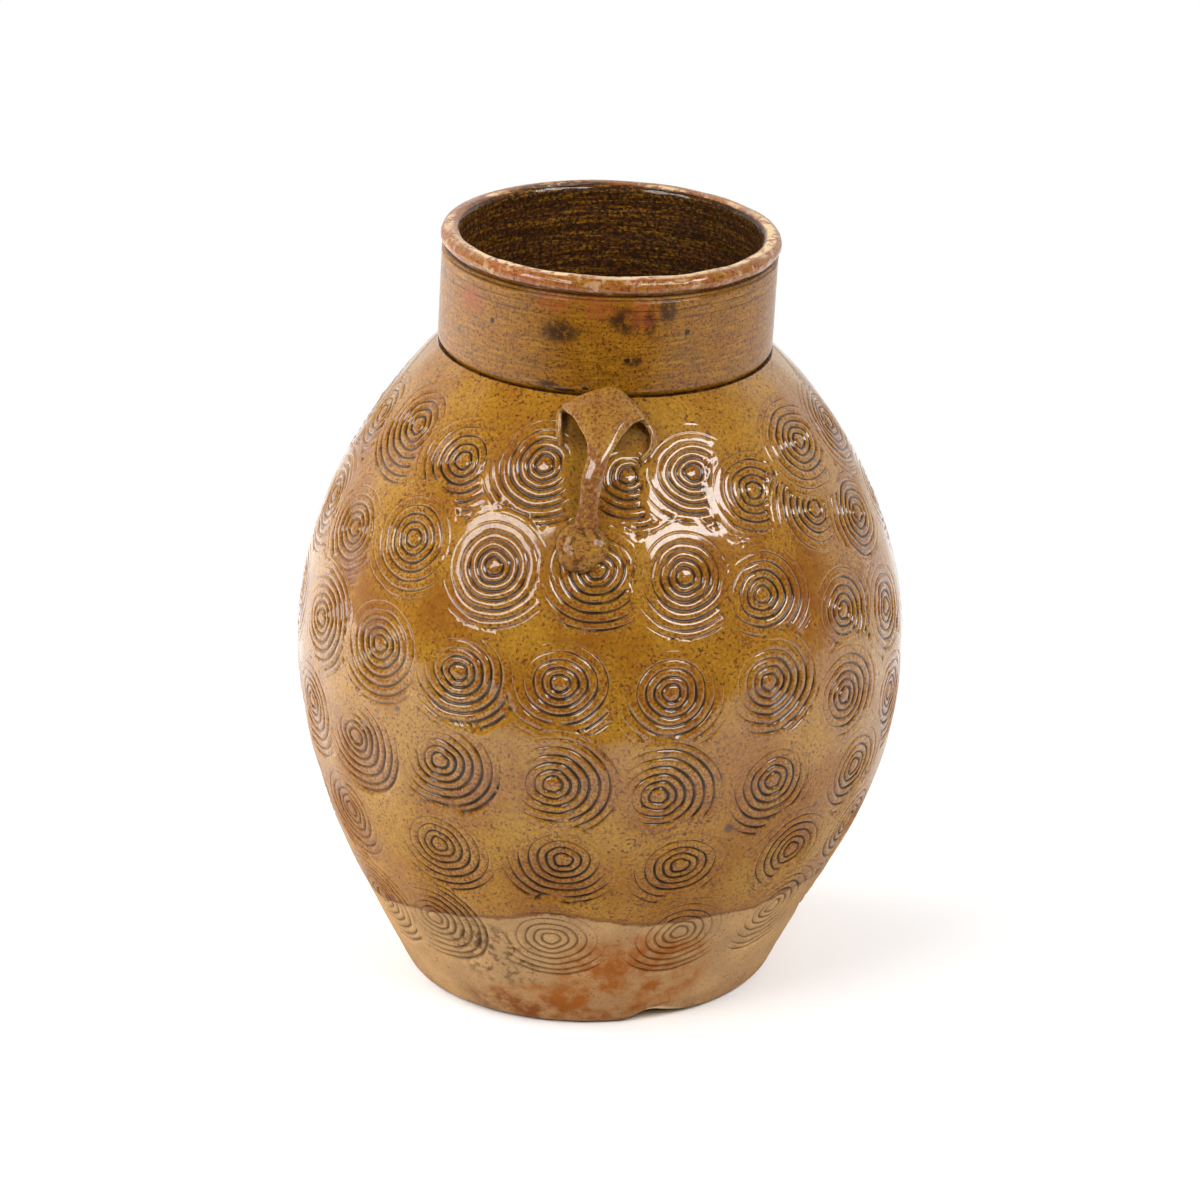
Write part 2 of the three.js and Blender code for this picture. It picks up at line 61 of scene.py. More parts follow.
# Front stamps, row by row from the shoulder down: azimuth in degrees, height in mm, the side that was pressed
# deeper, in degrees from the right towards the top, and how far the stamp leaned to it, from 0 to 1
FRONT_STAMPS = (
    # under the neck
    (-82, 230, -100, 0.3), (-58.9, 235, -120, 0.5), (-37.4, 230.3, -110, 0.4), (-14.8, 233.2, -115, 0.5),
    (7, 230.5, -70, 0.3), (24.2, 229.7, -95, 0.4), (39.4, 220.2, -80, 0.2), (55.6, 207.4, 130, 0.5),
    (72, 197, 180, 0.4), (62.5, 229, 180, 0.3), (86, 225, 190, 0.4),
    # shoulder
    (-82, 198, -90, 0.2), (-63.4, 196.2, -100, 0.2), (-43.3, 202, -100, 0.2), (-22.5, 198.8, -60, 0.3),
    (-0.7, 200, -90, 0.4), (17.8, 196.3, -80, 0.3), (34.2, 185.6, -40, 0.4), (54.7, 169.8, -30, 0.4),
    (72, 160, -60, 0.3),
    # above the belly
    (-67, 159, 0, 0.6), (-45.8, 162, -80, 0.4), (-27.2, 159.7, -55, 0.8), (-7.4, 159.7, -60, 0.5),
    (13.3, 155.2, -85, 0.4), (33, 153.5, -45, 0.6), (52, 138, 10, 0.4), (72, 125, -60, 0.4),
    # below the belly
    (-71, 122, -60, 0.4), (-52.2, 121, -55, 0.9), (-30.8, 123, -50, 0.9), (-8.7, 119.5, -15, 0.6),
    (10.9, 114.2, 5, 0.6), (34.1, 113, -85, 0.5), (57.5, 104.5, -60, 0.4),
    # lower body
    (-59.5, 84, -120, 0.4), (-33.1, 85.3, -60, 0.5), (-6.9, 86.4, -110, 0.7), (16.4, 81.8, -90, 0.3),
    (43.3, 76.8, 180, 0.2), (65, 75, -90, 0.3),
    # across the edge of the glaze
    (-62, 42, -20, 0.5), (-40.4, 45, -20, 1.0), (-9.7, 46.1, -80, 0.4), (20.4, 46.9, -90, 0.3),
    (47, 47, -30, 0.4),
)

# Radii of the rings on the stamp, in mm
RING_RADII = (3.5, 6.4, 9.6, 13.0, 16.7, 20.4, 23.4)

# Rows that go on round the back: height in mm, first and last azimuth in degrees, and how many stamps
BACK_ROWS = (
    (228, 106, 259, 8), (194, 92, 258, 9), (158, 93, 272, 9),
    (122, 92, 270, 9), (86, 84, 277, 8), (46, 74, 270, 7),
)
BACK_SEED = 7

# Random differences of the stamps at the back: degrees across, mm up, the deeper side and the lean
BACK_STRAY = ((-0.6, 0.6), (-1, 1), (-100, -20), (0.3, 0.6))

# How far out of round a print may be, and the range of a random start
SQUASH = (-0.07, 0)
FULL_TURN = 6.28

# Soft ovals on the clay are full up to about half their size, and end a little past it
OVAL_REACH = 1.3

# Lower edge of the glaze: azimuth in degrees and height in mm
GLAZE_EDGE = (
    (-180, 50), (-150, 54), (-120, 47), (-95, 44), (-64, 40), (-47, 47), (-31, 50.5), (-22, 54), (-11, 59.5),
    (-5, 58), (1, 56), (9, 53), (20, 53), (28, 52.5), (38, 51), (50, 53), (75, 50), (105, 55), (140, 47),
    (180, 50),
)
EDGE_SCALE = 100

# Large iron spots on the body: azimuth in degrees, height and half size in mm
IRON_SPOTS = (
    (25.2, 96.4, 2.6), (31.9, 239.7, 1.8), (-40, 140, 1.6), (12, 132, 1.5), (46, 96, 1.5), (-130, 150, 2.4),
)
SPOT_MM_PER_DEGREE = 1.9

# Where the glaze is thick and amber: azimuth in degrees, height in mm, half width in degrees and half height
# in mm
AMBER_POOLS = (
    (46, 180, 9, 36), (-54, 174, 13, 18), (28, 224, 7, 16), (-32, 178, 7, 14), (-4, 178, 8, 12),
    (150, 180, 30, 40),
)

# Marks on the neck, given in the same way
NECK_SMUDGES = (
    (-13.8, 279, 9, 6), (11, 268, 4, 3), (16.6, 283, 3, 7), (22.7, 287, 4, 6), (8, 284, 7, 7),
    (-18, 258, 5, 2), (165, 275, 12, 6), (-100, 270, 7, 8),
)
NECK_RUST = ((-15.5, 290.5, 9, 6), (0, 289.5, 8, 7), (13.8, 286, 7, 8), (-52, 284, 9, 7), (-150, 285, 20, 6))
NECK_SPOTS_AND_SHADE = (
    (-40.7, 278.6, 1.3, 1.4), (29.6, 277.5, 1.3, 1.4), (78, 289, 1.3, 2), (-66, 287, 0.9, 1.5),
    # The last two spots are painted shade in the gaps at the neck's foot
    (-60, 270, 0.8, 0.9), (9, 268.5, 1.3, 1.2), (-12, 256.5, 5, 0.9), (-5, 257.5, 1.5, 0.8),
)

# Fine lines scored round the neck, and where the painted shade in its foot groove ends: heights in mm
NECK_LINES = (284, 287.4)
NECK_FOOT_SHADE = (253.6, 255.6)

# Marks on the bare clay near the foot, given in the same way, each with its strength
FLASHING = ((8, 26, 28, 28, 1), (-12, 10, 26, 14, 1), (150, 22, 50, 24, 0.7))
SCORCHES = ((-27, 8, 20, 10, 1),)
SMOKE = ((-28, 34, 16, 22, 1), (200, 30, 50, 20, 0.6))

# Strap lug, row by row from the neck down to the tail: five places from its left edge over its middle to its
# right edge, each as mm round the shoulder, down the shoulder and off the clay
LUG_NET = (
    ((-14.5, 6, 1), (-9, 3, 1.5), (1.5, -1.5, 2), (8, 3.5, 1.5), (13, 9, 1)),
    ((-15.6, 7.6, 4.2), (-10.4, 5, 6), (1.5, 0.2, 6.8), (8, 4.4, 6.4), (13.6, 11.2, 5.2)),
    ((-14.2, 9.2, 6.2), (-8, 8, 8.2), (1, 5.5, 8.9), (7.5, 8, 8.2), (13, 11.9, 6.6)),
    ((-10.9, 12.2, 8), (-6, 12.5, 9.6), (0.3, 12, 10.2), (5.5, 12.5, 9.6), (9.5, 14, 7.9)),
    ((-8.3, 16.7, 9.2), (-4.5, 17.5, 10.7), (-0.3, 17.5, 11.1), (3.5, 17.8, 10.6), (6.1, 18.5, 9)),
    ((-5.8, 21.6, 10.2), (-3.3, 22.5, 11.4), (-0.7, 22.8, 11.7), (2, 22.8, 11.3), (3.9, 22.8, 10.2)),
    ((-5, 28, 10.6), (-3.5, 28.3, 11.6), (-1.5, 28.5, 12), (0.4, 28.3, 11.6), (1.9, 27.8, 10.7)),
    ((-6.2, 34.2, 9.4), (-4.6, 34.4, 10.6), (-2.8, 34.6, 11), (-1, 34.2, 10.6), (0.8, 33.5, 9.4)),
    ((-6.3, 39.2, 7.2), (-5, 39.4, 8.4), (-3.4, 39.5, 8.8), (-1.7, 39.3, 8.3), (-0.1, 39.2, 7.2)),
    ((-6.9, 43.8, 4.8), (-5.6, 43.9, 5.8), (-4.2, 44, 6.1), (-2.6, 44.4, 5.7), (-1, 44.8, 4.8)),
    ((-9, 49, 2.6), (-6.8, 49, 3.2), (-4.8, 49, 3.4), (-2.8, 49, 3.2), (-0.6, 49, 2.6)),
    ((-9.6, 53, 2), (-7.4, 53, 2.3), (-5.2, 53, 2.4), (-3, 53, 2.3), (-0.8, 53, 2)),
)

# The two legs that the strap's upper corners stand on: places along the foot and along the crest, as above
LUG_LEGS = (
    (
        (
            (-15.5, 5.5, -0.8), (-17.4, 8.5, -0.8), (-17.4, 12.8, -0.8), (-16.9, 17.6, -0.8),
            (-15.1, 20.4, -0.8),
        ),
        ((-13.6, 6.5, 3.6), (-15.7, 8.6, 4.8), (-16, 12.4, 4.2), (-15.8, 16.8, 3), (-14.8, 19.8, 1)),
    ),
    (
        ((13.5, 8, -0.8), (16.5, 11, -0.8), (19.3, 16.3, -0.8), (19, 22, -0.8), (14.7, 26, -0.8)),
        ((12.2, 9.4, 4.6), (14, 12, 5.6), (16.9, 16.2, 5), (17.1, 21.6, 3.4), (14.4, 24.8, 1.4)),
    ),
)

# Clay smoothed over the stamps when the lug was set: middle and half size, in mm round and down the shoulder
LUG_SEATS = ((0, 9, 17, 17), (10, 17, 10, 10), (-9, 33, 6.5, 14))

# The hollow under the lug, where shade is painted on the glaze, as above
LUG_HOLLOW = (0, 14, 15, 11)


def length(name, millimetres, description):
    return FloatProperty(
        name=name, description=description, default=millimetres * MM, unit="LENGTH", precision=5
    )


def angle(name, degrees, description):
    return FloatProperty(name=name, description=description, default=math.radians(degrees), subtype="ANGLE")


def colour(name, shade, description):
    """A colour, given as it shows on a screen, 0 to 255."""
    linear = [((part / 255 + 0.055) / 1.055) ** 2.4 if part > 10 else part / 255 / 12.92 for part in shade]
    return FloatVectorProperty(
        name=name, description=description, default=linear, subtype="COLOR", size=3, min=0, max=1
    )


def number(name, value, description):
    return FloatProperty(name=name, description=description, default=value)


class JarShape(PropertyGroup):
    """Sizes of the body, neck and rim"""

    belly_height: length("Belly height", 137, "Height of the widest level")
    shoulder_rise: length("Shoulder rise", 117, "From the widest level up to the foot of the neck")
    neck_height: length("Neck height", 39.4, "Neck from its foot to the rim")
    foot_radius: length("Foot radius", 71.3, "Outer radius on the ground")
    belly_radius: length("Belly radius", 118, "Outer radius at the widest level")
    neck_radius: length("Neck radius", 64, "Outer radius of the neck")
    foot_lean: angle("Foot lean", 24, "Lean of the wall as it leaves the ground")
    foot_sweep: length("Foot sweep", 49, "How far that lean carries")
    belly_sweep_down: length("Belly sweep down", 62, "How far the wall stays upright below the belly")
    belly_sweep_up: length("Belly sweep up", 12, "How far the wall stays upright above the belly")
    shoulder_slope: angle("Shoulder slope", 45, "Lean of the wall where it meets the neck")
    shoulder_sweep: length("Shoulder sweep", 72, "How far that slope carries")
    floor_thickness: length("Floor thickness", 9, "Thickness of the floor slab")
    floor_cove: length("Floor cove", 8, "Fillet of clay inside, between wall and floor")
    foot_round: length("Foot round", 4, "Softening of the foot's edge")
    wall_thickness: length("Wall thickness", 7, "Thickness of the body")
    belly_bevel: length("Belly bevel", 3, "Rise of the luted joint at the belly")
    neck_thickness: length("Neck thickness", 6.5, "Thickness of the neck")
    groove_depth: length("Groove depth", 1.6, "Depth of the groove at the foot of the neck")
    groove_height: length("Groove height", 2.4, "Height of the groove at the foot of the neck")
    rim_height: length("Rim height", 6.6, "Height of the rolled rim")
    rim_overhang: length("Rim overhang", 1, "How far the rim stands out from the neck")
    rim_undercut: length("Rim undercut", 1.2, "Depth of the line under the rim")
    rim_inset: length("Rim inset", 0.4, "How far the rim stands into the mouth")
    cordon_drop: length("Cordon drop", 1.8, "Lower line below the rim's foot")
    cordon_depth: length("Cordon depth", 0.6, "Depth of the two lines under the rim")
    cordon_height: length("Cordon height", 1.4, "Distance between the two lines")
    foot_drift: length("Foot drift", -4.5, "How far the foot sits to the right of the belly")
    foot_drift_height: length("Foot drift height", 110, "Height up to which that drift fades")
    neck_drift: length("Neck drift", 2, "How far the foot of the neck sits to the right")
    rim_drift: length("Rim drift", 4.5, "How far the rim sits to the right")
    neck_tilt: angle("Neck tilt", 2.1, "Tilt of the neck down to the right")
    neck_tilt_span: length("Neck tilt span", 29, "Height of shoulder over which the tilt grows")
    unevenness: length("Unevenness", 0.2, "How far the thrown wall is out of round")
    ripple: length("Ripple", 0.06, "Finger ripples on the wall")


class RingStamp(PropertyGroup):
    """Form of the ring stamp and of its print"""

    ring_height: length("Ring height", 1.0, "How far the rings stand out from the stamp")
    ring_width: length("Ring width", 1.3, "Half the width of a ring at its root")
    edge: length("Stamp edge", 24.4, "Radius of the stamp's face")
    press: length("Press", 1.3, "How deep the middle of the stamp goes")
    boss: length("Boss", 0.35, "Height of the dome left in the middle")
    dents: length("Dents", 0.07, "Unevenness of the clay under the stamp")
    wobble: length("Wobble", 0.15, "How far the hand-cut rings are out of round")
    lean: number("Lean", 0.08, "Slope of a stamp that leans fully")
    stiffness: number("Stiffness", 0.7, "Share of the wall's curve that the clay keeps under the stamp")


class LugShape(PropertyGroup):
    """Sizes of the strap lug and its pellet"""

    thickness: length("Strap thickness", 3, "Thickness of the strap")
    leg_thickness: length("Leg thickness", 2.4, "Thickness of the strap's two legs")
    pellet_radius: length("Pellet radius", 9.6, "Radius of the pellet")
    pellet_height: length("Pellet height", 5.2, "How far the pellet stands off the clay")
    pellet_around: length("Pellet place across", -6.8, "The pellet's centre, to the right of the front")
    pellet_down: length("Pellet place down", 58.3, "The pellet's centre, down the shoulder from the neck")


class JarColours(PropertyGroup):
    """Colours of glaze and clay"""

    glaze: colour("Glaze", (139, 90, 10), "Ochre glaze of the body")
    glaze_pale: colour("Pale glaze", (155, 110, 24), "Where the glaze is thin")
    amber: colour("Amber glaze", (118, 67, 4), "Where the glaze is thick")
    speck: colour("Specks", (84, 42, 14), "Iron specks in the glaze")
    spot: colour("Iron spots", (66, 42, 38), "The few large iron spots")
    # Pooled glaze in the grooves, and also the colour of painted shade under the lug, strap and rim, round
    # the pellet, at the neck's foot and on the right of the inside
    pool: colour("Pooled glaze", (30, 19, 10), "Glaze that has run into grooves")
    crest: colour("Ring crests", (104, 48, 16), "Red-brown dots on the ridges between rings")
    neck: colour("Neck glaze", (134, 86, 10), "Olive brown glaze of the neck")
    smudge: colour("Smudges", (46, 25, 6), "Dark smudges on the neck")
    rust: colour("Rust", (132, 60, 30), "Rusty patches on neck and rim")
    rim: colour("Rim glaze", (156, 100, 48), "Thin glaze on the rolled rim")
    worn: colour("Worn edge", (204, 176, 138), "Bare clay where the rim is worn or chipped")
    inside: colour("Inside glaze", (66, 33, 9), "Dark glaze inside")
    clay: colour("Bare clay", (174, 137, 92), "Unglazed clay near the foot")
    flash: colour("Flashing", (138, 75, 17), "Orange flashing on bare clay")
    scorch: colour("Scorch", (104, 56, 32), "Red-brown scorch at the foot")
    ash: colour("Smoke", (112, 88, 66), "Grey smudges on bare clay")


class JarStudio(PropertyGroup):
    """Camera and light"""

    camera_distance: length("Camera distance", 2200, "From the camera to the jar's middle")
    camera_aim: length("Camera aim", 148.53, "Height that the camera looks at")
    camera_elevation: angle("Camera elevation", 21.19, "Camera above the horizon")
    lens: FloatProperty(name="Lens", description="Focal length", default=169.5, unit="CAMERA")
    key_light: number("Key light", 8.8, "Brightness of the left softbox")
    fill_light: number("Fill light", 13.0, "Brightness of the right softbox")
    left_wall: number("Left wall", 6.0, "Soft light from the white wall on the left")
    right_wall: number("Right wall", 1.4, "Soft light from the white wall on the right")
    back_wall: number("Back wall", 1.0, "Brightness of the studio behind the jar")
    front_room: number("Front room", 0.1, "Brightness in front of the jar")
    floor: colour("Floor", (238, 238, 238), "Pale floor")
    paper_front: length("Paper edge", 458, "Front edge of the white paper, before the jar's middle")
    shadow_reach: length("Shadow reach", 340, "Where the floor has faded to the white of the backdrop")


def current(*names):
    """All that is set in some of the scene's groups, to tell whether anything has changed."""
    found = []
    for name in names:
        group = getattr(bpy.context.scene, name)
        found += [getattr(group, key) for key in GROUPS[name].__annotations__]
    return tuple(value if isinstance(value, float) else tuple(value) for value in found)


def smooth(value):
    """0 up to 0, 1 from 1 on, and a smooth rise between."""
    value = np.clip(value, 0, 1)
    return value * value * (3 - 2 * value)


def rise(value, start, over):
    """0 up to a start, then a smooth rise to 1 over a distance."""
    return smooth((value - start) / over)


def lean(slope):
    """Direction, as radius and height, of a wall that leans outward by an angle."""
    return np.array((math.sin(slope), math.cos(slope)))


def bezier(points, steps):
    """Curve from the first of four points to the last, pulled by the two between."""
    t = np.linspace(0, 1, steps)[:, None]
    a, b, c, d = points
    return (1 - t) ** 3 * a + 3 * (1 - t) ** 2 * t * b + 3 * (1 - t) * t * t * c + t**3 * d


def arc(start, corner, end, steps):
    """Curve that rounds off a corner."""
    t = np.linspace(0, 1, steps)[:, None]
    return (1 - t) ** 2 * start + 2 * t * (1 - t) * corner + t * t * end


def spline(points, steps):
    """Smooth curve through rows of points, with so many steps from one to the next."""
    points = np.asarray(points, float)
    ends = np.concatenate((2 * points[:1] - points[1:2], points, 2 * points[-1:] - points[-2:-1]))
    t = (np.arange(steps) / steps).reshape((-1,) + (1,) * (points.ndim - 1))
    pieces = []
    for a, b, c, d in zip(ends, ends[1:], ends[2:], ends[3:]):
        slope_b = (c - a) / 2
        slope_c = (d - b) / 2
        pieces.append(
            b + t * slope_b + t * t * (3 * (c - b) - 2 * slope_b - slope_c)
            + t**3 * (2 * (b - c) + slope_b + slope_c)
        )
    return np.concatenate(pieces + [points[-1:]])


class Wall:
    """The jar's outer curve, from the ground to the foot of the neck."""

    # Waves of the thrown wall: how many round the jar, their climb in radians per metre, start and strength
    SLOW_WAVES = ((2, 9, 1.1, 1), (3, -14, 0, 0.6), (5, 31, 0, 0.5))
    RIPPLES = ((21, 160, 1, 1), (17, -210, 2, 1), (27, 95, 3, 1))
    THROWING_RINGS = 250

    def __init__(self, shape, steps=1500):
        self.shape = shape
        self.neck_root = shape.belly_height + shape.shoulder_rise
        self.rim_foot = self.neck_root + shape.neck_height
        self.top = self.rim_foot + shape.rim_height
        foot = np.array((shape.foot_radius, 0.0))
        belly = np.array((shape.belly_radius, shape.belly_height))
        neck = np.array((shape.neck_radius, self.neck_root))
        lower = (
            foot, foot + lean(shape.foot_lean) * shape.foot_sweep, belly - (0, shape.belly_sweep_down), belly
        )
        upper = (
            belly,
            belly + (0, shape.belly_sweep_up),
            neck - lean(-shape.shoulder_slope) * shape.shoulder_sweep,
            neck,
        )
        curve = np.vstack((bezier(lower, steps), bezier(upper, steps)[1:]))
        step = np.hypot(*np.diff(curve, axis=0).T)
        self.radius, self.height = curve.T
        self.run = np.concatenate(([0], np.cumsum(step)))
        along = np.gradient(curve, self.run, axis=0)
        self.along = along / np.linalg.norm(along, axis=1)[:, None]
        widening = shape.belly_radius / ((self.radius[1:] + self.radius[:-1]) / 2)
        sheet = np.concatenate(([0], np.cumsum(step * widening)))
        self.sheet = sheet - np.interp(shape.belly_height, self.height, sheet)

    def run_at(self, height):
        return np.interp(height, self.height, self.run)

    def outline(self, run, lift=0.0):
        """Radius and height at a run, moved off the clay."""
        over = np.maximum(run - self.run[-1], 0)
        along = [np.interp(run, self.run, self.along[:, axis]) for axis in (0, 1)]
        radius = np.interp(run, self.run, self.radius) + lift * along[1] + over * along[0]
        height = np.interp(run, self.run, self.height) - lift * along[0] + over * along[1]
        return radius, height

    def spot(self, around, run, lift=0.0):
        radius, height = self.outline(run, lift)
        return np.stack((radius * np.sin(around), -radius * np.cos(around), height), axis=-1)

    def shoulder(self, across, down, lift):
        """A place by its distance round the shoulder, down from the neck, and off the clay."""
        run = self.run[-1] - down
        return self.spot(across / np.interp(run, self.run, self.radius), run, lift)

    def settle(self, places):
        """Pulls places out of true, as drying and firing did."""
        shape = self.shape
        x, y, z = np.moveaxis(np.asarray(places, float), -1, 0)
        leaning = smooth((z - self.neck_root + shape.neck_tilt_span) / shape.neck_tilt_span)
        up_neck = np.maximum(0, z - self.neck_root) / (self.top - self.neck_root)
        foot = shape.foot_drift * (1 - smooth(z / shape.foot_drift_height))
        drift = foot + shape.neck_drift * leaning + (shape.rim_drift - shape.neck_drift) * up_neck
        return np.stack((x + drift, y, z - math.tan(shape.neck_tilt) * leaning * x), axis=-1)

    def uneven(self, around, height):
        """How far the thrown wall stands off its true curve."""
        slow, ripple = (
            sum(size * np.sin(count * around + climb * height + start) for count, climb, start, size in waves)
            for waves in (self.SLOW_WAVES, self.RIPPLES)
        )
        rings = np.sin(self.THROWING_RINGS * height + 2 * np.sin(3 * around))
        return self.shape.unevenness * slow + self.shape.ripple * (ripple + rings)


class Stamp:
    """One print of the ring stamp on the wall."""

    DENT_SIZE = 1.4 * MM
    DENT_TURNS = (0.4, 2.2, 4.1)
    # Waves round the hand-cut rings: how many, how far the phase shifts them, and how strong
    WAVES = ((3, 1, 1), (5, -2, 0.7), (8, 3, 0.3))
    # Higher powers make sharper grooves with wider ridges between
    GROOVE_POWER = 2.2
    BOSS_RADIUS = 2.6 * MM
    # The print fades where the stamp hardly touches the clay, and at the stamp's edge
    TOUCH = 0.1 * MM
    TOUCH_FADE = 0.25 * MM
    EDGE_FADE = 0.8 * MM
    # Depth of a groove full of dark glaze and painted shade, and how the dark line widens in a deep print
    FULL_GROOVE = 0.6 * MM
    THIN_LINE = 1.6
    WIDE_LINE = 0.5
    DEEP_FROM = 0.85
    DEEP_OVER = 0.6
    # How far off the clay and past the edge a place still belongs to the print
    SKIN = 0.3 * MM
    MARGIN = 0.6 * MM
    # Rings of points: in the middle in mm, at a groove in ring widths, at the edge in mm
    MIDDLE_RINGS = (0, 1.2, 2.1)
    GROOVE_RINGS = (-0.6, -0.25, 0, 0.25, 0.6)
    EDGE_RINGS = (-0.3, 0.45)
    ROUND_MIDDLE = 2 * MM
    # Points in a ring, up to a radius in mm
    RING_POINTS = ((5, 24), (11, 40), (math.inf, 60))
    FIT_ROUNDS = 6

    def __init__(self, wall, form, azimuth, height, toward, lean_share, squash, phase):
        self.wall = wall
        self.form = form
        self.around = math.radians((azimuth + 180) % 360 - 180)
        self.run = wall.run_at(height * MM)
        self.centre = wall.spot(self.around, self.run)
        along = [np.interp(self.run, wall.run, wall.along[:, axis]) for axis in (0, 1)]
        sine, cosine = math.sin(self.around), math.cos(self.around)
        self.right = np.array((cosine, sine, 0))
        self.up = np.array((along[0] * sine, -along[0] * cosine, along[1]))
        self.out = np.cross(self.right, self.up)
        deeper = math.radians(toward)
        self.slope = form.lean * lean_share * np.array((math.cos(deeper), math.sin(deeper)))
        self.squash = squash
        self.phase = phase

    def local(self, places):
        """Places as the stamp meets them: to its right, up, and how far the wall falls back from its face."""
        away = places - self.centre
        return away @ self.right, away @ self.up, -(away @ self.out)

    def depth(self, x, y, fall):
        """How deep the stamp's face lies under the wall."""
        form = self.form
        dents = sum(
            np.sin((x * math.cos(turn) + y * math.sin(turn)) / self.DENT_SIZE + turn * self.phase)
            for turn in self.DENT_TURNS
        )
        return form.press + x * self.slope[0] + y * self.slope[1] - form.stiffness * fall + form.dents * dents

    def outline(self, turn):
        """How far the rings are out of round at an angle."""
        waves = [share * np.sin(count * turn + shift * self.phase) for count, shift, share in self.WAVES]
        return self.form.wobble * sum(waves)

    def imprint(self, x, y, fall):
        """Height of the print, its cover over what was there, and its grooves and crests."""
        form = self.form
        radius = np.hypot(x * (1 + self.squash), y * (1 - self.squash)) + self.outline(np.arctan2(y, x))
        away = np.min([np.abs(radius - middle * MM) for middle in RING_RADII], axis=0)
        ring = np.maximum(0, 1 - away / form.ring_width) ** self.GROOVE_POWER
        depth = self.depth(x, y, fall)
        ridge = np.maximum(0, depth - form.ring_height)
        pressed = np.maximum(0, depth - form.ring_height * (1 - ring))
        boss = form.boss * smooth(1 - radius / self.BOSS_RADIUS)
        cover = smooth((depth + self.TOUCH) / self.TOUCH_FADE)
        cover = cover * smooth((form.edge + self.EDGE_FADE / 2 - radius) / self.EDGE_FADE)
        deep = smooth((depth / form.ring_height - self.DEEP_FROM) / self.DEEP_OVER)
        line = self.THIN_LINE + (self.WIDE_LINE - self.THIN_LINE) * deep
        # The groove mark: pooled glaze and painted shade in the grooves
        groove = np.clip((pressed - ridge) / self.FULL_GROOVE, 0, 1) ** line * cover
        crest = (1 - ring) * np.clip(depth / self.FULL_GROOVE, 0, 1) * cover
        return boss - pressed, cover, groove, crest

    def owns(self, places):
        x, y, fall = self.local(places)
        near = (np.hypot(x, y) < self.form.edge + self.MARGIN) & (fall < self.form.edge)
        return near & (self.depth(x, y, fall) > -self.SKIN)

    def radii(self):
        """Radii of the rings of points."""
        radii = [radius * MM for radius in self.MIDDLE_RINGS]
        for ring, middle in enumerate(RING_RADII):
            radii += [middle * MM + step * self.form.ring_width for step in self.GROOVE_RINGS]
            radii += [(middle + outer) / 2 * MM for outer in RING_RADII[ring + 1:ring + 2]]
        return radii + [self.form.edge + step * MM for step in self.EDGE_RINGS]

    def points(self):
        """Places in rings round the print, as azimuths and runs."""
        x, y = [], []
        for radius in self.radii():
            count = next(count for reach, count in self.RING_POINTS if radius < reach * MM) if radius else 1
            turn = np.arange(count) * (2 * math.pi / count)
            stretch = np.hypot(np.cos(turn) * (1 + self.squash), np.sin(turn) * (1 - self.squash))
            reach = np.maximum(0, radius - self.outline(turn) * (radius > self.ROUND_MIDDLE)) / stretch
            x.append(reach * np.cos(turn))
            y.append(reach * np.sin(turn))
        x, y = np.concatenate(x), np.concatenate(y)
        around = self.around + x / np.interp(self.run, self.wall.run, self.wall.radius)
        run = self.run + y
        for _ in range(self.FIT_ROUNDS):
            found_x, found_y, fall = self.local(self.wall.spot(around, run))
            around = around + (x - found_x) / np.interp(run, self.wall.run, self.wall.radius)
            run = run + (y - found_y)
        kept = (self.depth(x, y, fall) > -self.SKIN) & (run > 0) & (run < self.wall.run[-1])
        return around[kept], run[kept]


def stamps_on(wall, form):
    """The front stamps as they stand, then the back ones with random differences."""
    draw = np.random.default_rng(BACK_SEED)
    rows = list(FRONT_STAMPS)
    for height, first, last, count in BACK_ROWS:
        for azimuth in np.linspace(first, last, count):
            across, up, *press = (draw.uniform(*limits) for limits in BACK_STRAY)
            rows.append((azimuth + across, height + up, *press))
    return [Stamp(wall, form, *row, draw.uniform(*SQUASH), draw.uniform(0, FULL_TURN)) for row in rows]


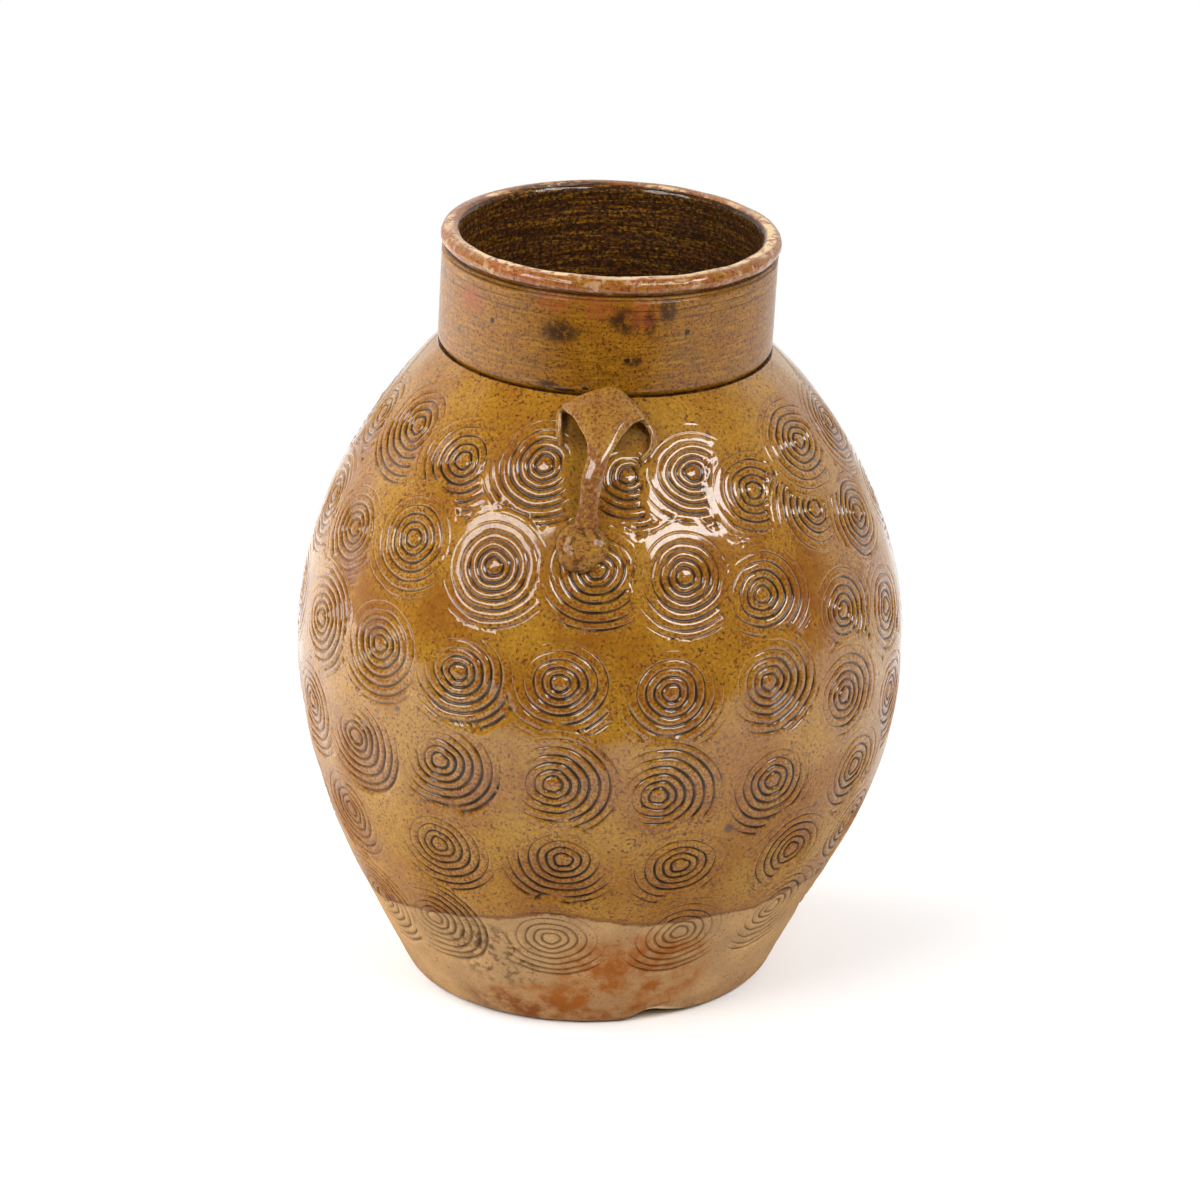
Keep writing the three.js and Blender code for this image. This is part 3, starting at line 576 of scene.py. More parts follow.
class Sheet:
    """The stamped outside of the body, laid flat, cut in triangles and put back on the wall."""

    COLUMNS = 256
    SEAM_STEP = 0.5 * MM
    CUT_STEP = 0.8 * MM
    LOOSE_STEP = 3 * MM
    ROW_STEP = 0.866
    CLEAR = 0.3 * MM
    # Points closer than the first are one point, and closer than the second to a border lie on it
    MERGE = 1e-9
    ON_BORDER = 1e-7
    # How far apart two stamps can meet, and how far from its centre a stamp reaches
    MEETING = 60 * MM
    REACH = 26 * MM
    # How dark the painted shade on the glaze is under the lug and in the crack round the pellet
    HOLLOW_SHADE = 0.62
    CRACK_SHADE = 0.75

    def __init__(self, wall, form, lug):
        self.wall = wall
        self.lug = lug
        stamps = stamps_on(wall, form)
        flat = self.flat_points(stamps)
        made = delaunay_2d_cdt([Vector(point) for point in flat.tolist()], [], [], 0, self.MERGE)
        self.flat = np.array([point[:] for point in made[0]])
        self.triangles = np.array(made[2])
        self.around = self.flat[:, 0] / wall.shape.belly_radius
        self.run = np.interp(self.flat[:, 1], wall.sheet, wall.run)
        self.press(stamps)

    def flat_points(self, stamps):
        wall = self.wall
        half = math.pi * wall.shape.belly_radius
        low, high = np.interp((wall.shape.floor_thickness, wall.neck_root), wall.height, wall.sheet)
        columns = np.linspace(-half, half, self.COLUMNS + 1)
        seam = np.linspace(-half, half, round(2 * half / self.SEAM_STEP) + 1)
        cut = np.linspace(low, high, round((high - low) / self.CUT_STEP))[1:-1]
        cut = cut[np.abs(cut) > self.SEAM_STEP / 2]
        fixed = [np.stack((columns, np.full_like(columns, level)), 1) for level in (low, high)]
        fixed.append(np.stack((seam, np.zeros_like(seam)), 1))
        fixed += [np.stack((np.full_like(cut, side), cut), 1) for side in (-half, half)]
        free = []
        for index, stamp in enumerate(stamps):
            around, run = stamp.points()
            around = (around + math.pi) % (2 * math.pi) - math.pi
            places = wall.spot(around, run)
            kept = np.ones(len(run), bool)
            for later in stamps[index + 1:]:
                if np.linalg.norm(later.centre - stamp.centre) < self.MEETING:
                    kept &= ~later.owns(places)
            flat = np.stack((around * wall.shape.belly_radius, np.interp(run, wall.run, wall.sheet)), 1)
            free.append(flat[kept])
        across, up = np.meshgrid(
            np.arange(-half, half, self.LOOSE_STEP), np.arange(low, high, self.LOOSE_STEP * self.ROW_STEP)
        )
        across[1::2] += self.LOOSE_STEP / 2
        loose = np.stack((across.ravel(), up.ravel()), 1)
        loose_run = np.interp(loose[:, 1], wall.sheet, wall.run)
        places = wall.spot(loose[:, 0] / wall.shape.belly_radius, loose_run)
        kept = np.ones(len(loose), bool)
        for stamp in stamps:
            kept &= ~stamp.owns(places)
        free.append(loose[kept])
        free = np.concatenate(free)
        clear = (np.abs(free[:, 1]) > self.CLEAR) & (np.abs(free[:, 0]) < half - self.CLEAR)
        clear &= (free[:, 1] > low + self.CLEAR) & (free[:, 1] < high - self.CLEAR)
        return np.concatenate(fixed + [free[clear]])

    def press(self, stamps):
        """Presses the stamps in, in turn, then smooths the clay round the lug and paints shade under it and
        round the pellet.
        """
        wall, lug = self.wall, self.lug
        places = wall.spot(self.around, self.run)
        height, self.groove, self.crest = np.zeros((3, len(places)))
        for stamp in stamps:
            near = np.nonzero(np.linalg.norm(places - stamp.centre, axis=1) < self.REACH)[0]
            print_height, cover, groove, crest = stamp.imprint(*stamp.local(places[near]))
            for layer, pressed in ((height, print_height), (self.groove, groove), (self.crest, crest)):
                layer[near] += cover * (pressed - layer[near])
        kept = 1 - np.max([self.beside_lug(*seat) for seat in LUG_SEATS], axis=0)
        # Painted shade in the hollow under the lug
        self.groove = self.groove * kept + self.HOLLOW_SHADE * self.beside_lug(*LUG_HOLLOW)
        across, down = self.on_shoulder()
        gap = np.hypot(across - lug.pellet_around / MM, down - lug.pellet_down / MM) - lug.pellet_radius / MM
        # Painted shade in the crack round the pellet
        self.groove = np.maximum(self.groove, self.CRACK_SHADE * smooth(1 - np.abs(gap)))
        self.crest *= kept
        lift = height * kept + wall.uneven(self.around, places[:, 2])
        self.places = wall.settle(wall.spot(self.around, self.run, lift))

    def on_shoulder(self):
        """Distances round the shoulder and down it from the neck, in mm."""
        wall = self.wall
        return self.around * np.interp(self.run, wall.run, wall.radius) / MM, (wall.run[-1] - self.run) / MM

    def beside_lug(self, x, y, wide, tall):
        """1 in an oval on the shoulder, given in mm round and down from the neck, and 0 away from it."""
        across, down = self.on_shoulder()
        return smooth(OVAL_REACH - ((across - x) / wide) ** 2 - ((down - y) / tall) ** 2)

    def border(self, level):
        """Points of a level border, from the cut round to the cut again."""
        on = np.nonzero(np.abs(self.flat[:, 1] - level) < self.ON_BORDER)[0]
        return on[np.argsort(self.flat[on, 0])]


@functools.lru_cache(maxsize=1)
def sheet_of(sizes):
    """The sheet for the present sizes, kept until they change."""
    scene = bpy.context.scene
    return Sheet(Wall(scene.jar_shape), scene.ring_stamp, scene.jar_lug)


def body_sheet():
    """The stamped sheet, made again only when a size has changed."""
    return sheet_of(current("jar_shape", "ring_stamp", "jar_lug"))


class Shell:
    """Gathers the patches of one piece's surface, and makes its mesh."""

    def __init__(self):
        self.places = []
        # The groove mark darkens the glaze: pooled glaze in grooves, and painted shade in hollows and under
        # the lug and rim
        self.marks = {"groove": [], "crest": []}
        self.count = 0
        self.faces = []
        self.uvs = []
        self.patches = []
        self.finishes = []

    def add(self, places, **marks):
        places = np.asarray(places, float).reshape(-1, 3)
        self.places.append(places)
        for name, values in self.marks.items():
            values.append(np.asarray(marks.get(name, np.zeros(len(places)))).ravel())
        self.count += len(places)
        return np.arange(self.count - len(places), self.count)

    def cover(self, corners, uvs, patch, finish=0):
        """Faces from rows of point numbers, with a UV place for each corner."""
        self.faces += corners.tolist()
        self.uvs.append(np.asarray(uvs, float).reshape(-1, 2))
        self.patches += [patch] * len(corners)
        self.finishes += [finish] * len(corners)

    def grid(self, numbers, box, patch, finish=0):
        """Faces over a grid of point numbers, drawn in a box of the UV map."""
        rows, columns = numbers.shape
        across, up = np.meshgrid(np.linspace(box[0], box[2], columns), np.linspace(box[1], box[3], rows))
        uv = np.stack((across, up), -1)
        corners = [np.s_[:-1, :-1], np.s_[:-1, 1:], np.s_[1:, 1:], np.s_[1:, :-1]]
        self.cover(
            np.stack([numbers[corner].ravel() for corner in corners], 1),
            np.stack([uv[corner].reshape(-1, 2) for corner in corners], 1),
            patch,
            finish,
        )

    def bridge(self, first, second, box, patch, finish=0):
        """A band between two loops of point numbers that both start and end at the same azimuth."""
        a, b = 0, 0
        corners, uvs = [], []
        where = [np.linspace(0, 1, len(loop)) for loop in (first, second)]
        width, height = box[2] - box[0], box[3] - box[1]
        while a < len(first) - 1 or b < len(second) - 1:
            low = (box[0] + width * where[0][a], box[1])
            high = (box[0] + width * where[1][b], box[1] + height)
            step_a = b == len(second) - 1 or (a < len(first) - 1 and where[0][a + 1] <= where[1][b + 1])
            if step_a:
                corners.append((first[a], first[a + 1], second[b]))
                uvs.append((low, (box[0] + width * where[0][a + 1], box[1]), high))
                a += 1
            else:
                corners.append((first[a], second[b + 1], second[b]))
                uvs.append((low, (box[0] + width * where[1][b + 1], box[1] + height), high))
                b += 1
        self.cover(np.array(corners), np.array(uvs), patch, finish)

    def cap(self, ring, hub, size, patch, finish=0, middle=None):
        """Closes a ring of point numbers, drawn as a small disc in the UV map."""
        if middle is None:
            middle = np.concatenate(self.places)[ring].mean(axis=0)
        centre = self.add([middle])[0]
        looped = np.append(ring, ring[0])
        spin = np.linspace(0, 2 * math.pi, len(looped))
        rim = hub + np.stack((np.cos(spin), np.sin(spin)), 1) * size
        corners = np.stack((looped[:-1], looped[1:], np.full(len(ring), centre)), 1)
        uvs = np.stack((rim[:-1], rim[1:], np.repeat([hub], len(ring), 0)), 1)
        self.cover(corners, uvs, patch, finish)

    def make(self, name, materials):
        mesh = bpy.data.meshes.new(name)
        mesh.from_pydata(np.concatenate(self.places).tolist(), [], self.faces)
        layer = mesh.uv_layers.new(name="OFBake")
        layer.data.foreach_set("uv", np.concatenate(self.uvs).ravel())
        for mark, values in self.marks.items():
            values = np.concatenate(values)
            if values.any():
                mesh.attributes.new(mark, "FLOAT", "POINT").data.foreach_set("value", values)
        for material in materials:
            mesh.materials.append(material)
        mesh.polygons.foreach_set("material_index", self.finishes)
        mesh.polygons.foreach_set("use_smooth", [True] * len(self.faces))
        sizes = np.array([len(face) for face in self.faces])
        edges = np.zeros(sizes.sum(), np.int32)
        mesh.loops.foreach_get("edge_index", edges)
        patches = np.repeat(self.patches, sizes)
        lowest = np.full(len(mesh.edges), len(patches))
        highest = np.full(len(mesh.edges), -1)
        np.minimum.at(lowest, edges, patches)
        np.maximum.at(highest, edges, patches)
        mesh.edges.foreach_set("use_edge_sharp", lowest != highest)
        mesh.update()
        piece = bpy.data.objects.new(name, mesh)
        bpy.context.scene.collection.objects.link(piece)
        return piece


def closed(numbers):
    """A grid of point numbers with its first column again at the end."""
    return np.concatenate((numbers, numbers[:, :1]), axis=1)


def turns(columns):
    """Azimuths round the jar."""
    return np.linspace(-math.pi, math.pi, columns, endpoint=False)


def turned(shell, wall, radius, height, **marks):
    """Points of a turned surface, from rows of radii and heights. Returns their numbers, closed."""
    around = turns(radius.shape[1])
    height = np.broadcast_to(height, radius.shape)
    places = np.stack((radius * np.sin(around), -radius * np.cos(around), height), -1)
    return closed(shell.add(wall.settle(places), **marks).reshape(radius.shape))


def hum(values, seed, waves=6):
    """A smooth, uneven wave that repeats every full turn, between about -1 and 1."""
    draw = np.random.default_rng(seed)
    total = np.zeros_like(values, float)
    for wave in range(1, waves + 1):
        size = draw.normal(0, 1 / wave**0.5)
        turn = draw.integers(1, 4) * wave
        total += size * np.sin(turn * values + draw.uniform(0, FULL_TURN))
    return total / waves**0.5


class Wire:
    """A socket that carries a number, with Python's arithmetic."""

    def __init__(self, finish, socket):
        self.finish = finish
        self.socket = socket

    def math(self, operation, *terms):
        return self.finish.node("ShaderNodeMath", {"operation": operation}, dict(enumerate(terms)))

    def __add__(self, other):
        return self.math("ADD", self, other)

    __radd__ = __add__

    def __sub__(self, other):
        return self.math("SUBTRACT", self, other)

    def __rsub__(self, other):
        return self.math("SUBTRACT", other, self)

    def __mul__(self, other):
        return self.math("MULTIPLY", self, other)

    __rmul__ = __mul__

    def __truediv__(self, other):
        return self.math("DIVIDE", self, other)

    def __pow__(self, other):
        return self.math("POWER", self, other)

    def least(self, other):
        return self.math("MINIMUM", self, other)

    def most(self, other):
        return self.math("MAXIMUM", self, other)

    def smooth(self, low, high):
        """0 below low, 1 above high, and a smooth rise between."""
        return self.finish.node(
            "ShaderNodeMapRange",
            {"interpolation_type": "SMOOTHSTEP"},
            {"Value": self, "From Min": low, "From Max": high},
        )


class Finish:
    """A node material, or the world, whose nodes come from one method."""

    def __init__(self, name, tree=None):
        if tree is None:
            self.material = bpy.data.materials.new(name)
            self.material.use_nodes = True
            tree = self.material.node_tree
        self.tree = tree
        tree.nodes.clear()

    def node(self, kind, options=None, inputs=None, out=0):
        made = self.tree.nodes.new(kind)
        for option, value in (options or {}).items():
            if option == "stops":
                self.set_stops(made.color_ramp, value)
            else:
                setattr(made, option, value)
        for key, value in (inputs or {}).items():
            if isinstance(key, str):
                socket = next(s for s in made.inputs if s.enabled and key in (s.identifier, s.name))
            else:
                socket = made.inputs[key]
            if isinstance(value, Wire):
                self.tree.links.new(value.socket, socket)
            elif socket.type == "RGBA" and len(value) == 3:
                socket.default_value = (*value, 1)
            else:
                socket.default_value = value
        shown = [socket for socket in made.outputs if socket.enabled]
        return Wire(self, made.outputs[out] if isinstance(out, str) else shown[out]) if shown else made

    def set_stops(self, ramp, stops):
        while len(ramp.elements) < len(stops):
            ramp.elements.new(1)
        for element, (position, level) in zip(ramp.elements, stops):
            element.position = position
            element.color = (level, level, level, 1)

    def places(self):
        return self.node("ShaderNodeTexCoord", out="Object")

    def mark(self, name):
        return self.node("ShaderNodeAttribute", {"attribute_name": name}, out="Fac")

    def noise(self, size, detail=2.0, stretch=None, roughness=0.5):
        """Noise with lumps of a size in mm, which can be stretched along x, y and z."""
        at = self.places()
        if stretch:
            at = self.node("ShaderNodeMapping", {"vector_type": "TEXTURE"}, {"Vector": at, "Scale": stretch})
        return self.node(
            "ShaderNodeTexNoise",
            None,
            {"Vector": at, "Scale": 1 / (size * MM), "Detail": detail, "Roughness": roughness},
            out="Fac",
        )

    def axes(self, vector):
        """The x, y and z of a vector."""
        split = self.node("ShaderNodeSeparateXYZ", None, {"Vector": vector})
        return [Wire(self, socket) for socket in split.socket.node.outputs]

    def mix(self, share, first, second, blend="MIX"):
        return self.node(
            "ShaderNodeMix",
            {"data_type": "RGBA", "blend_type": blend, "clamp_factor": True},
            {"Factor_Float": share, "A_Color": first, "B_Color": second},
        )

    def surface(self, base, roughness, coat, bump, **constants):
        normal = self.node("ShaderNodeBump", None, {"Strength": 1.0, "Distance": MM, "Height": bump})
        inputs = {"Base Color": base, "Roughness": roughness, "Coat Weight": coat, "Normal": normal}
        inputs.update({key.replace("_", " "): value for key, value in constants.items()})
        shader = self.node("ShaderNodeBsdfPrincipled", None, inputs)
        self.node("ShaderNodeOutputMaterial", None, {"Surface": shader})
        return self.material


COAT = {"Coat_Roughness": 0.07, "Coat_IOR": 1.55, "Specular_IOR_Level": 0.08}
GLAZE_ROUGHNESS = 0.45
CLAY_ROUGHNESS = 0.85

# Grain of the glaze: its dark and light parts, and how much of it shows
GRAIN = ((0.56, 0.53, 0.44), (1.04, 1.04, 1.04))
GRAIN_SHARE = 0.65

# Layers of colour: size of the patches in mm, detail, flatness, roughness, the two levels of noise between
# which a patch grows to its full strength, that strength, and its colour
GLAZE_BLOTCHES = ((8, 3.0, 1, 0.5, 0.45, 0.75, 0.05, "speck"),)
AMBER = ((6, 3.0, 1, 0.5, 0.25, 0.6, 0.75, "amber"),)
CLAY_DOTS = ((1.1, 1.0, 1, 0.5, 0.6, 0.68, 0.6, "scorch"),)
CLAY_LAYERS = (
    (16, 4.0, 1, 0.5, 0.3, 0.7, 0.35, "ash"),
    (0.8, 2.0, 1, 0.5, 0.35, 0.7, 0.3, "ash"),
)
CLAY_SMOKE = ((3, 3.0, 1, 0.5, 0.46, 0.62, 0.6, "pool"),)
NECK_LAYERS = (
    (13, 5.0, 0.07, 0.65, 0.44, 0.64, 0.36, "smudge"),
    (9, 4.0, 1, 0.5, 0.52, 0.7, 0.12, "rust"),
    (9, 4.0, 0.12, 0.5, 0.48, 0.68, 0.45, "glaze_pale"),
    (0.85, 0.0, 1, 0.5, 0.62, 0.68, 0.6, "smudge"),
)
NECK_SMUDGE = ((2.4, 5.0, 1, 0.7, 0.32, 0.54, 0.97, "smudge"),)
NECK_RUSTING = ((2, 5.0, 1, 0.7, 0.36, 0.62, 0.8, "rust"),)
RIM_LAYERS = (
    (5, 4.0, 1, 0.5, 0.42, 0.58, 0.5, "rust"),
    (4.5, 4.0, 1, 0.5, 0.54, 0.66, 0.34, "worn"),
    (1.3, 1.0, 1, 0.5, 0.58, 0.66, 0.7, "speck"),
)
RIM_DARKS_AND_SHADE = ((3, 3.0, 1, 0.5, 0.3, 0.5, 1, "pool"),)
LUG_PITS = ((2.4, 4.0, 1, 0.65, 0.54, 0.64, 0.6, "smudge"),)

# The lug's red-brown stem: azimuth in degrees, height in mm, half width in degrees, half height in mm
LUG_STEM = (-2.5, 229, 9, 20)


class GlazeFinish(Finish):
    """Shared parts of the glazes: place on the wall, layers of colour, specks, and orange peel."""

    def __init__(self, name, colours):
        super().__init__(name)
        self.colours = colours
        self.x, self.y, self.height = self.axes(self.places())
        self.around = self.x.math("ARCTAN2", self.x, 0 - self.y)

    def oval(self, azimuth, height, half_width, half_height):
        """A soft oval on the wall: azimuth and half width in degrees, height and half height in mm."""
        across = (self.around - math.radians(azimuth)) / math.radians(half_width)
        up = (self.height - height * MM) / (half_height * MM)
        return 1 - (across * across + up * up).smooth(0.0, 1.0)

    def ovals(self, rows):
        """The strongest of some ovals, each given with its strength."""
        return functools.reduce(Wire.most, [self.oval(*oval) * strength for *oval, strength in rows])

    def layers(self, base, rows, within=1.0):
        """Lays patches of colour over a base, all over or only within a mask."""
        for size, detail, flatness, roughness, low, high, strength, name in rows:
            stretch = None if flatness == 1 else (1, 1, flatness)
            patch = self.noise(size, detail, stretch, roughness).smooth(low, high)
            base = self.mix(patch * within * strength, base, getattr(self.colours, name))
        return base

    def glaze(self, thin, thick):
        """Mottled, speckled glaze colour."""
        base = self.mix(self.noise(28, 3.0).smooth(0.35, 0.66), thick, thin)
        base = self.layers(base, GLAZE_BLOTCHES)
        grain = self.mix(self.noise(1.2, 3.0, roughness=0.6).smooth(0.34, 0.66), *GRAIN)
        base = self.mix(GRAIN_SHARE, base, grain, "MULTIPLY")
        crowding = self.noise(9, 2.0).smooth(0.3, 0.6) * 0.4 + 0.5
        return self.mix(self.noise(1.25, 1.0).smooth(0.585, 0.66) * crowding, base, self.colours.speck)

    def peel(self):
        """Height of the glaze's orange peel, in mm."""
        return self.noise(3, 2.0) * 0.3 + self.noise(1.1, 1.0) * 0.08


def above_edge(finish):
    """Height above the ragged lower edge of the glaze, in mm."""
    turn = finish.around / (2 * math.pi) + 0.5
    stops = [((azimuth + 180) / 360, height / EDGE_SCALE) for azimuth, height in GLAZE_EDGE]
    edge = finish.node("ShaderNodeValToRGB", {"stops": stops}, {"Fac": turn}, out="Color")
    ragged = finish.noise(5, 3.0) * 3.2 - 1.6 + finish.noise(1.2, 1.0) * 0.8 - 0.4
    return finish.height / MM - (edge * EDGE_SCALE + ragged)


def body_glaze(colours):
    finish = GlazeFinish("body_glaze", colours)
    base = finish.glaze(colours.glaze_pale, colours.glaze)
    for pool in AMBER_POOLS:
        base = finish.layers(base, AMBER, finish.oval(*pool))
    dots = finish.noise(1.1, 1.0).smooth(0.5, 0.57) * 0.7 + finish.noise(5, 2.0).smooth(0.45, 0.65) * 0.06
    base = finish.mix(finish.mark("crest") * dots, base, colours.crest)
    for azimuth, height, size in IRON_SPOTS:
        spot = finish.oval(azimuth, height, size / SPOT_MM_PER_DEGREE, size)
        base = finish.mix(spot * 0.8, base, colours.spot)
    above = above_edge(finish)
    glazed = above.smooth(-0.5, 0.7)
    border = above.smooth(-1.0, 0.4) - above.smooth(0.8, 3.0)
    base = finish.mix(border * 0.55, base, colours.speck)
    base = finish.mix(glazed, clay_colour(finish), base)
    # Dark in the grooves: pooled glaze and painted shade, with the painted shade weaker on the lit left
    away_from_lit_left = (finish.x / MM).smooth(-100.0, -50.0)
    pooled_glaze_and_shade = finish.mark("groove").smooth(0.25, 0.95) * (0.55 + away_from_lit_left * 0.45)
    pooled_glaze_and_shade = pooled_glaze_and_shade * (0.7 + finish.noise(7, 3.0).smooth(0.35, 0.6) * 0.3)
    base = finish.mix(pooled_glaze_and_shade * (glazed * 0.46 + 0.5), base, colours.pool)
    bump = finish.peel() * (glazed * 0.85 + 0.15) + finish.noise(0.6, 2.0) * (0.1 - glazed * 0.085)
    roughness = CLAY_ROUGHNESS - glazed * (CLAY_ROUGHNESS - GLAZE_ROUGHNESS)
    high = (finish.height / MM).smooth(60.0, 150.0)
    shine = 0.08 + high * 0.77 + finish.noise(14, 2.0) * 0.25
    coat = glazed * shine * (1 - pooled_glaze_and_shade * (0.65 - high * 0.45))
    return finish.surface(base, roughness, coat.least(1.0), bump, **COAT)


def clay_colour(finish):
    """Bare clay near the foot, with flashing, scorch and smoke."""
    colours = finish.colours
    base = finish.layers(colours.clay, CLAY_LAYERS)
    base = finish.layers(base, CLAY_DOTS, finish.noise(12, 2.0).smooth(0.35, 0.65))
    patches = finish.noise(9, 5.0, roughness=0.65).smooth(0.36, 0.66)
    flash = finish.ovals(FLASHING).smooth(0.0, 0.7) * (patches * 0.75 + 0.2)
    base = finish.mix(flash, base, colours.flash)
    foot = 1 - (finish.height / MM).smooth(3.0, 13.0)
    scorch = finish.ovals(SCORCHES).most(foot * 0.5) * patches
    base = finish.mix(scorch * 0.8, base, colours.scorch)
    return finish.layers(base, CLAY_SMOKE, finish.ovals(SMOKE))


def neck_glaze(colours):
    finish = GlazeFinish("neck_glaze", colours)
    base = finish.layers(finish.glaze(colours.glaze, colours.neck), NECK_LAYERS)
    for smudge in NECK_SMUDGES:
        base = finish.layers(base, NECK_SMUDGE, finish.oval(*smudge))
    for spot in NECK_SPOTS_AND_SHADE:
        base = finish.mix(finish.oval(*spot).smooth(0.1, 0.6) * 0.9, base, colours.pool)
    for patch in NECK_RUST:
        base = finish.layers(base, NECK_RUSTING, finish.oval(*patch))
    level = (finish.height + finish.x * math.tan(bpy.context.scene.jar_shape.neck_tilt)) / MM
    lines = 0
    for height in NECK_LINES:
        away = level - height - finish.noise(20, 1.0) * 1.2
        lines = lines + 1 - (away * away).smooth(0.0, 0.12)
    lines = lines * finish.noise(14, 2.0).smooth(0.35, 0.6)
    base = finish.mix(lines * 0.7, base, colours.smudge)
    # Painted shade in the groove at the neck's foot
    foot = 1 - level.smooth(*NECK_FOOT_SHADE)
    base = finish.mix(foot * 0.75, base, colours.pool)
    base = finish.mix(finish.mark("groove"), base, colours.pool)
    bump = finish.peel() - lines * 0.12
    streaks = finish.noise(13, 5.0, (1, 1, 0.07), 0.65).smooth(0.44, 0.64)
    return finish.surface(base, GLAZE_ROUGHNESS - streaks * 0.05, 0.38 + streaks * 0.15, bump, **COAT)


def rim_glaze(colours):
    finish = GlazeFinish("rim_glaze", colours)
    base = finish.layers(finish.glaze(colours.rim, colours.glaze), RIM_LAYERS)
    worn = finish.mark("crest") * finish.noise(4, 5.0, roughness=0.65).smooth(0.4, 0.54)
    base = finish.mix(worn.least(1.0), base, colours.worn)
    # Darkens the rim's dark places and the painted shade under the roll
    base = finish.layers(base, RIM_DARKS_AND_SHADE, finish.mark("groove"))
    bump = finish.peel() + finish.noise(2.2, 3.0) * 0.35
    return finish.surface(base, GLAZE_ROUGHNESS + worn * 0.3, 0.75 - worn * 0.6, bump, **COAT)


def lug_glaze(colours):
    finish = GlazeFinish("lug_glaze", colours)
    base = finish.glaze(colours.glaze_pale, colours.glaze)
    rust = finish.noise(6, 4.0).smooth(0.42, 0.66) * 0.3
    stem = finish.noise(1.6, 4.0, roughness=0.65).smooth(0.34, 0.6)
    stem = stem * finish.oval(*LUG_STEM).smooth(0.0, 0.7)
    base = finish.mix(rust.most(stem), base, colours.crest)
    specks = finish.noise(1.3, 2.0).smooth(0.52, 0.64)
    base = finish.mix(specks * 0.65, finish.mix(0.06, base, colours.worn), colours.speck)
    # Painted shade on the strap's underside and round the pellet's foot
    base = finish.mix(finish.mark("groove"), base, colours.pool)
    matt = finish.mark("crest")
    base = finish.layers(base, LUG_PITS, matt)
    pits = finish.noise(2.4, 4.0, roughness=0.65).smooth(0.54, 0.64) * matt
    bump = finish.peel() + finish.noise(4, 4.0, roughness=0.65) * (0.45 + matt * 0.9) - pits * 0.5
    coat = (0.9 - specks * 0.3) * (1 - matt * 0.7)
    return finish.surface(base, GLAZE_ROUGHNESS + matt * 0.15, coat, bump, **COAT)


def inside_glaze(colours):
    finish = GlazeFinish("inside_glaze", colours)
    lines = finish.noise(20, 4.0, (1, 1, 0.06), 0.6).smooth(0.46, 0.6)
    base = finish.mix(lines * 0.35, colours.inside, colours.glaze)
    specks = finish.noise(1.5, 2.0, (1, 1, 0.8)).smooth(0.42, 0.56)
    base = finish.mix(specks * 0.85, base, colours.pool)
    pale = finish.noise(1.5, 1.0, (1, 1, 0.7)).smooth(0.54, 0.64)
    base = finish.mix(pale * (0.12 + lines * 0.36), base, colours.glaze_pale)
    # Painted shade: the inside darkens towards the right
    base = finish.mix((finish.x / MM).smooth(10.0, 60.0) * 0.5, base, colours.pool)
    bump = finish.peel() + finish.noise(10, 3.0, (1, 1, 0.06)) * 0.3 + finish.noise(1.8, 2.0) * 0.4
    return finish.surface(base, 0.55 + specks * 0.1, 0.4 + specks * 0.3, bump, **COAT)


def bare_clay(colours):
    finish = GlazeFinish("bare_clay", colours)
    base = finish.mix(finish.mark("crest"), clay_colour(finish), colours.worn)
    bump = finish.noise(0.7, 3.0) * 0.12 + finish.noise(3, 2.0) * 0.12
    return finish.surface(base, CLAY_ROUGHNESS + finish.noise(5) * 0.1, 0.0, bump, **COAT)


@functools.lru_cache(maxsize=None)
def made_finish(make, settings):
    """The material for the present settings, kept until they change."""
    return make(bpy.context.scene.jar_colours)


def finish_of(make):
    """The material of a finish, made again only when a setting has changed."""
    return made_finish(make, current("jar_colours", "jar_shape"))


class JarPiece:
    """What the operators that make one piece each have in common."""

    def execute(self, context):
        shell = Shell()
        self.build(context.scene, Wall(context.scene.jar_shape), shell)
        piece = shell.make(self.piece, [finish_of(make) for make in self.finishes])
        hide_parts(self.node)
        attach(piece, "root")
        return {"FINISHED"}


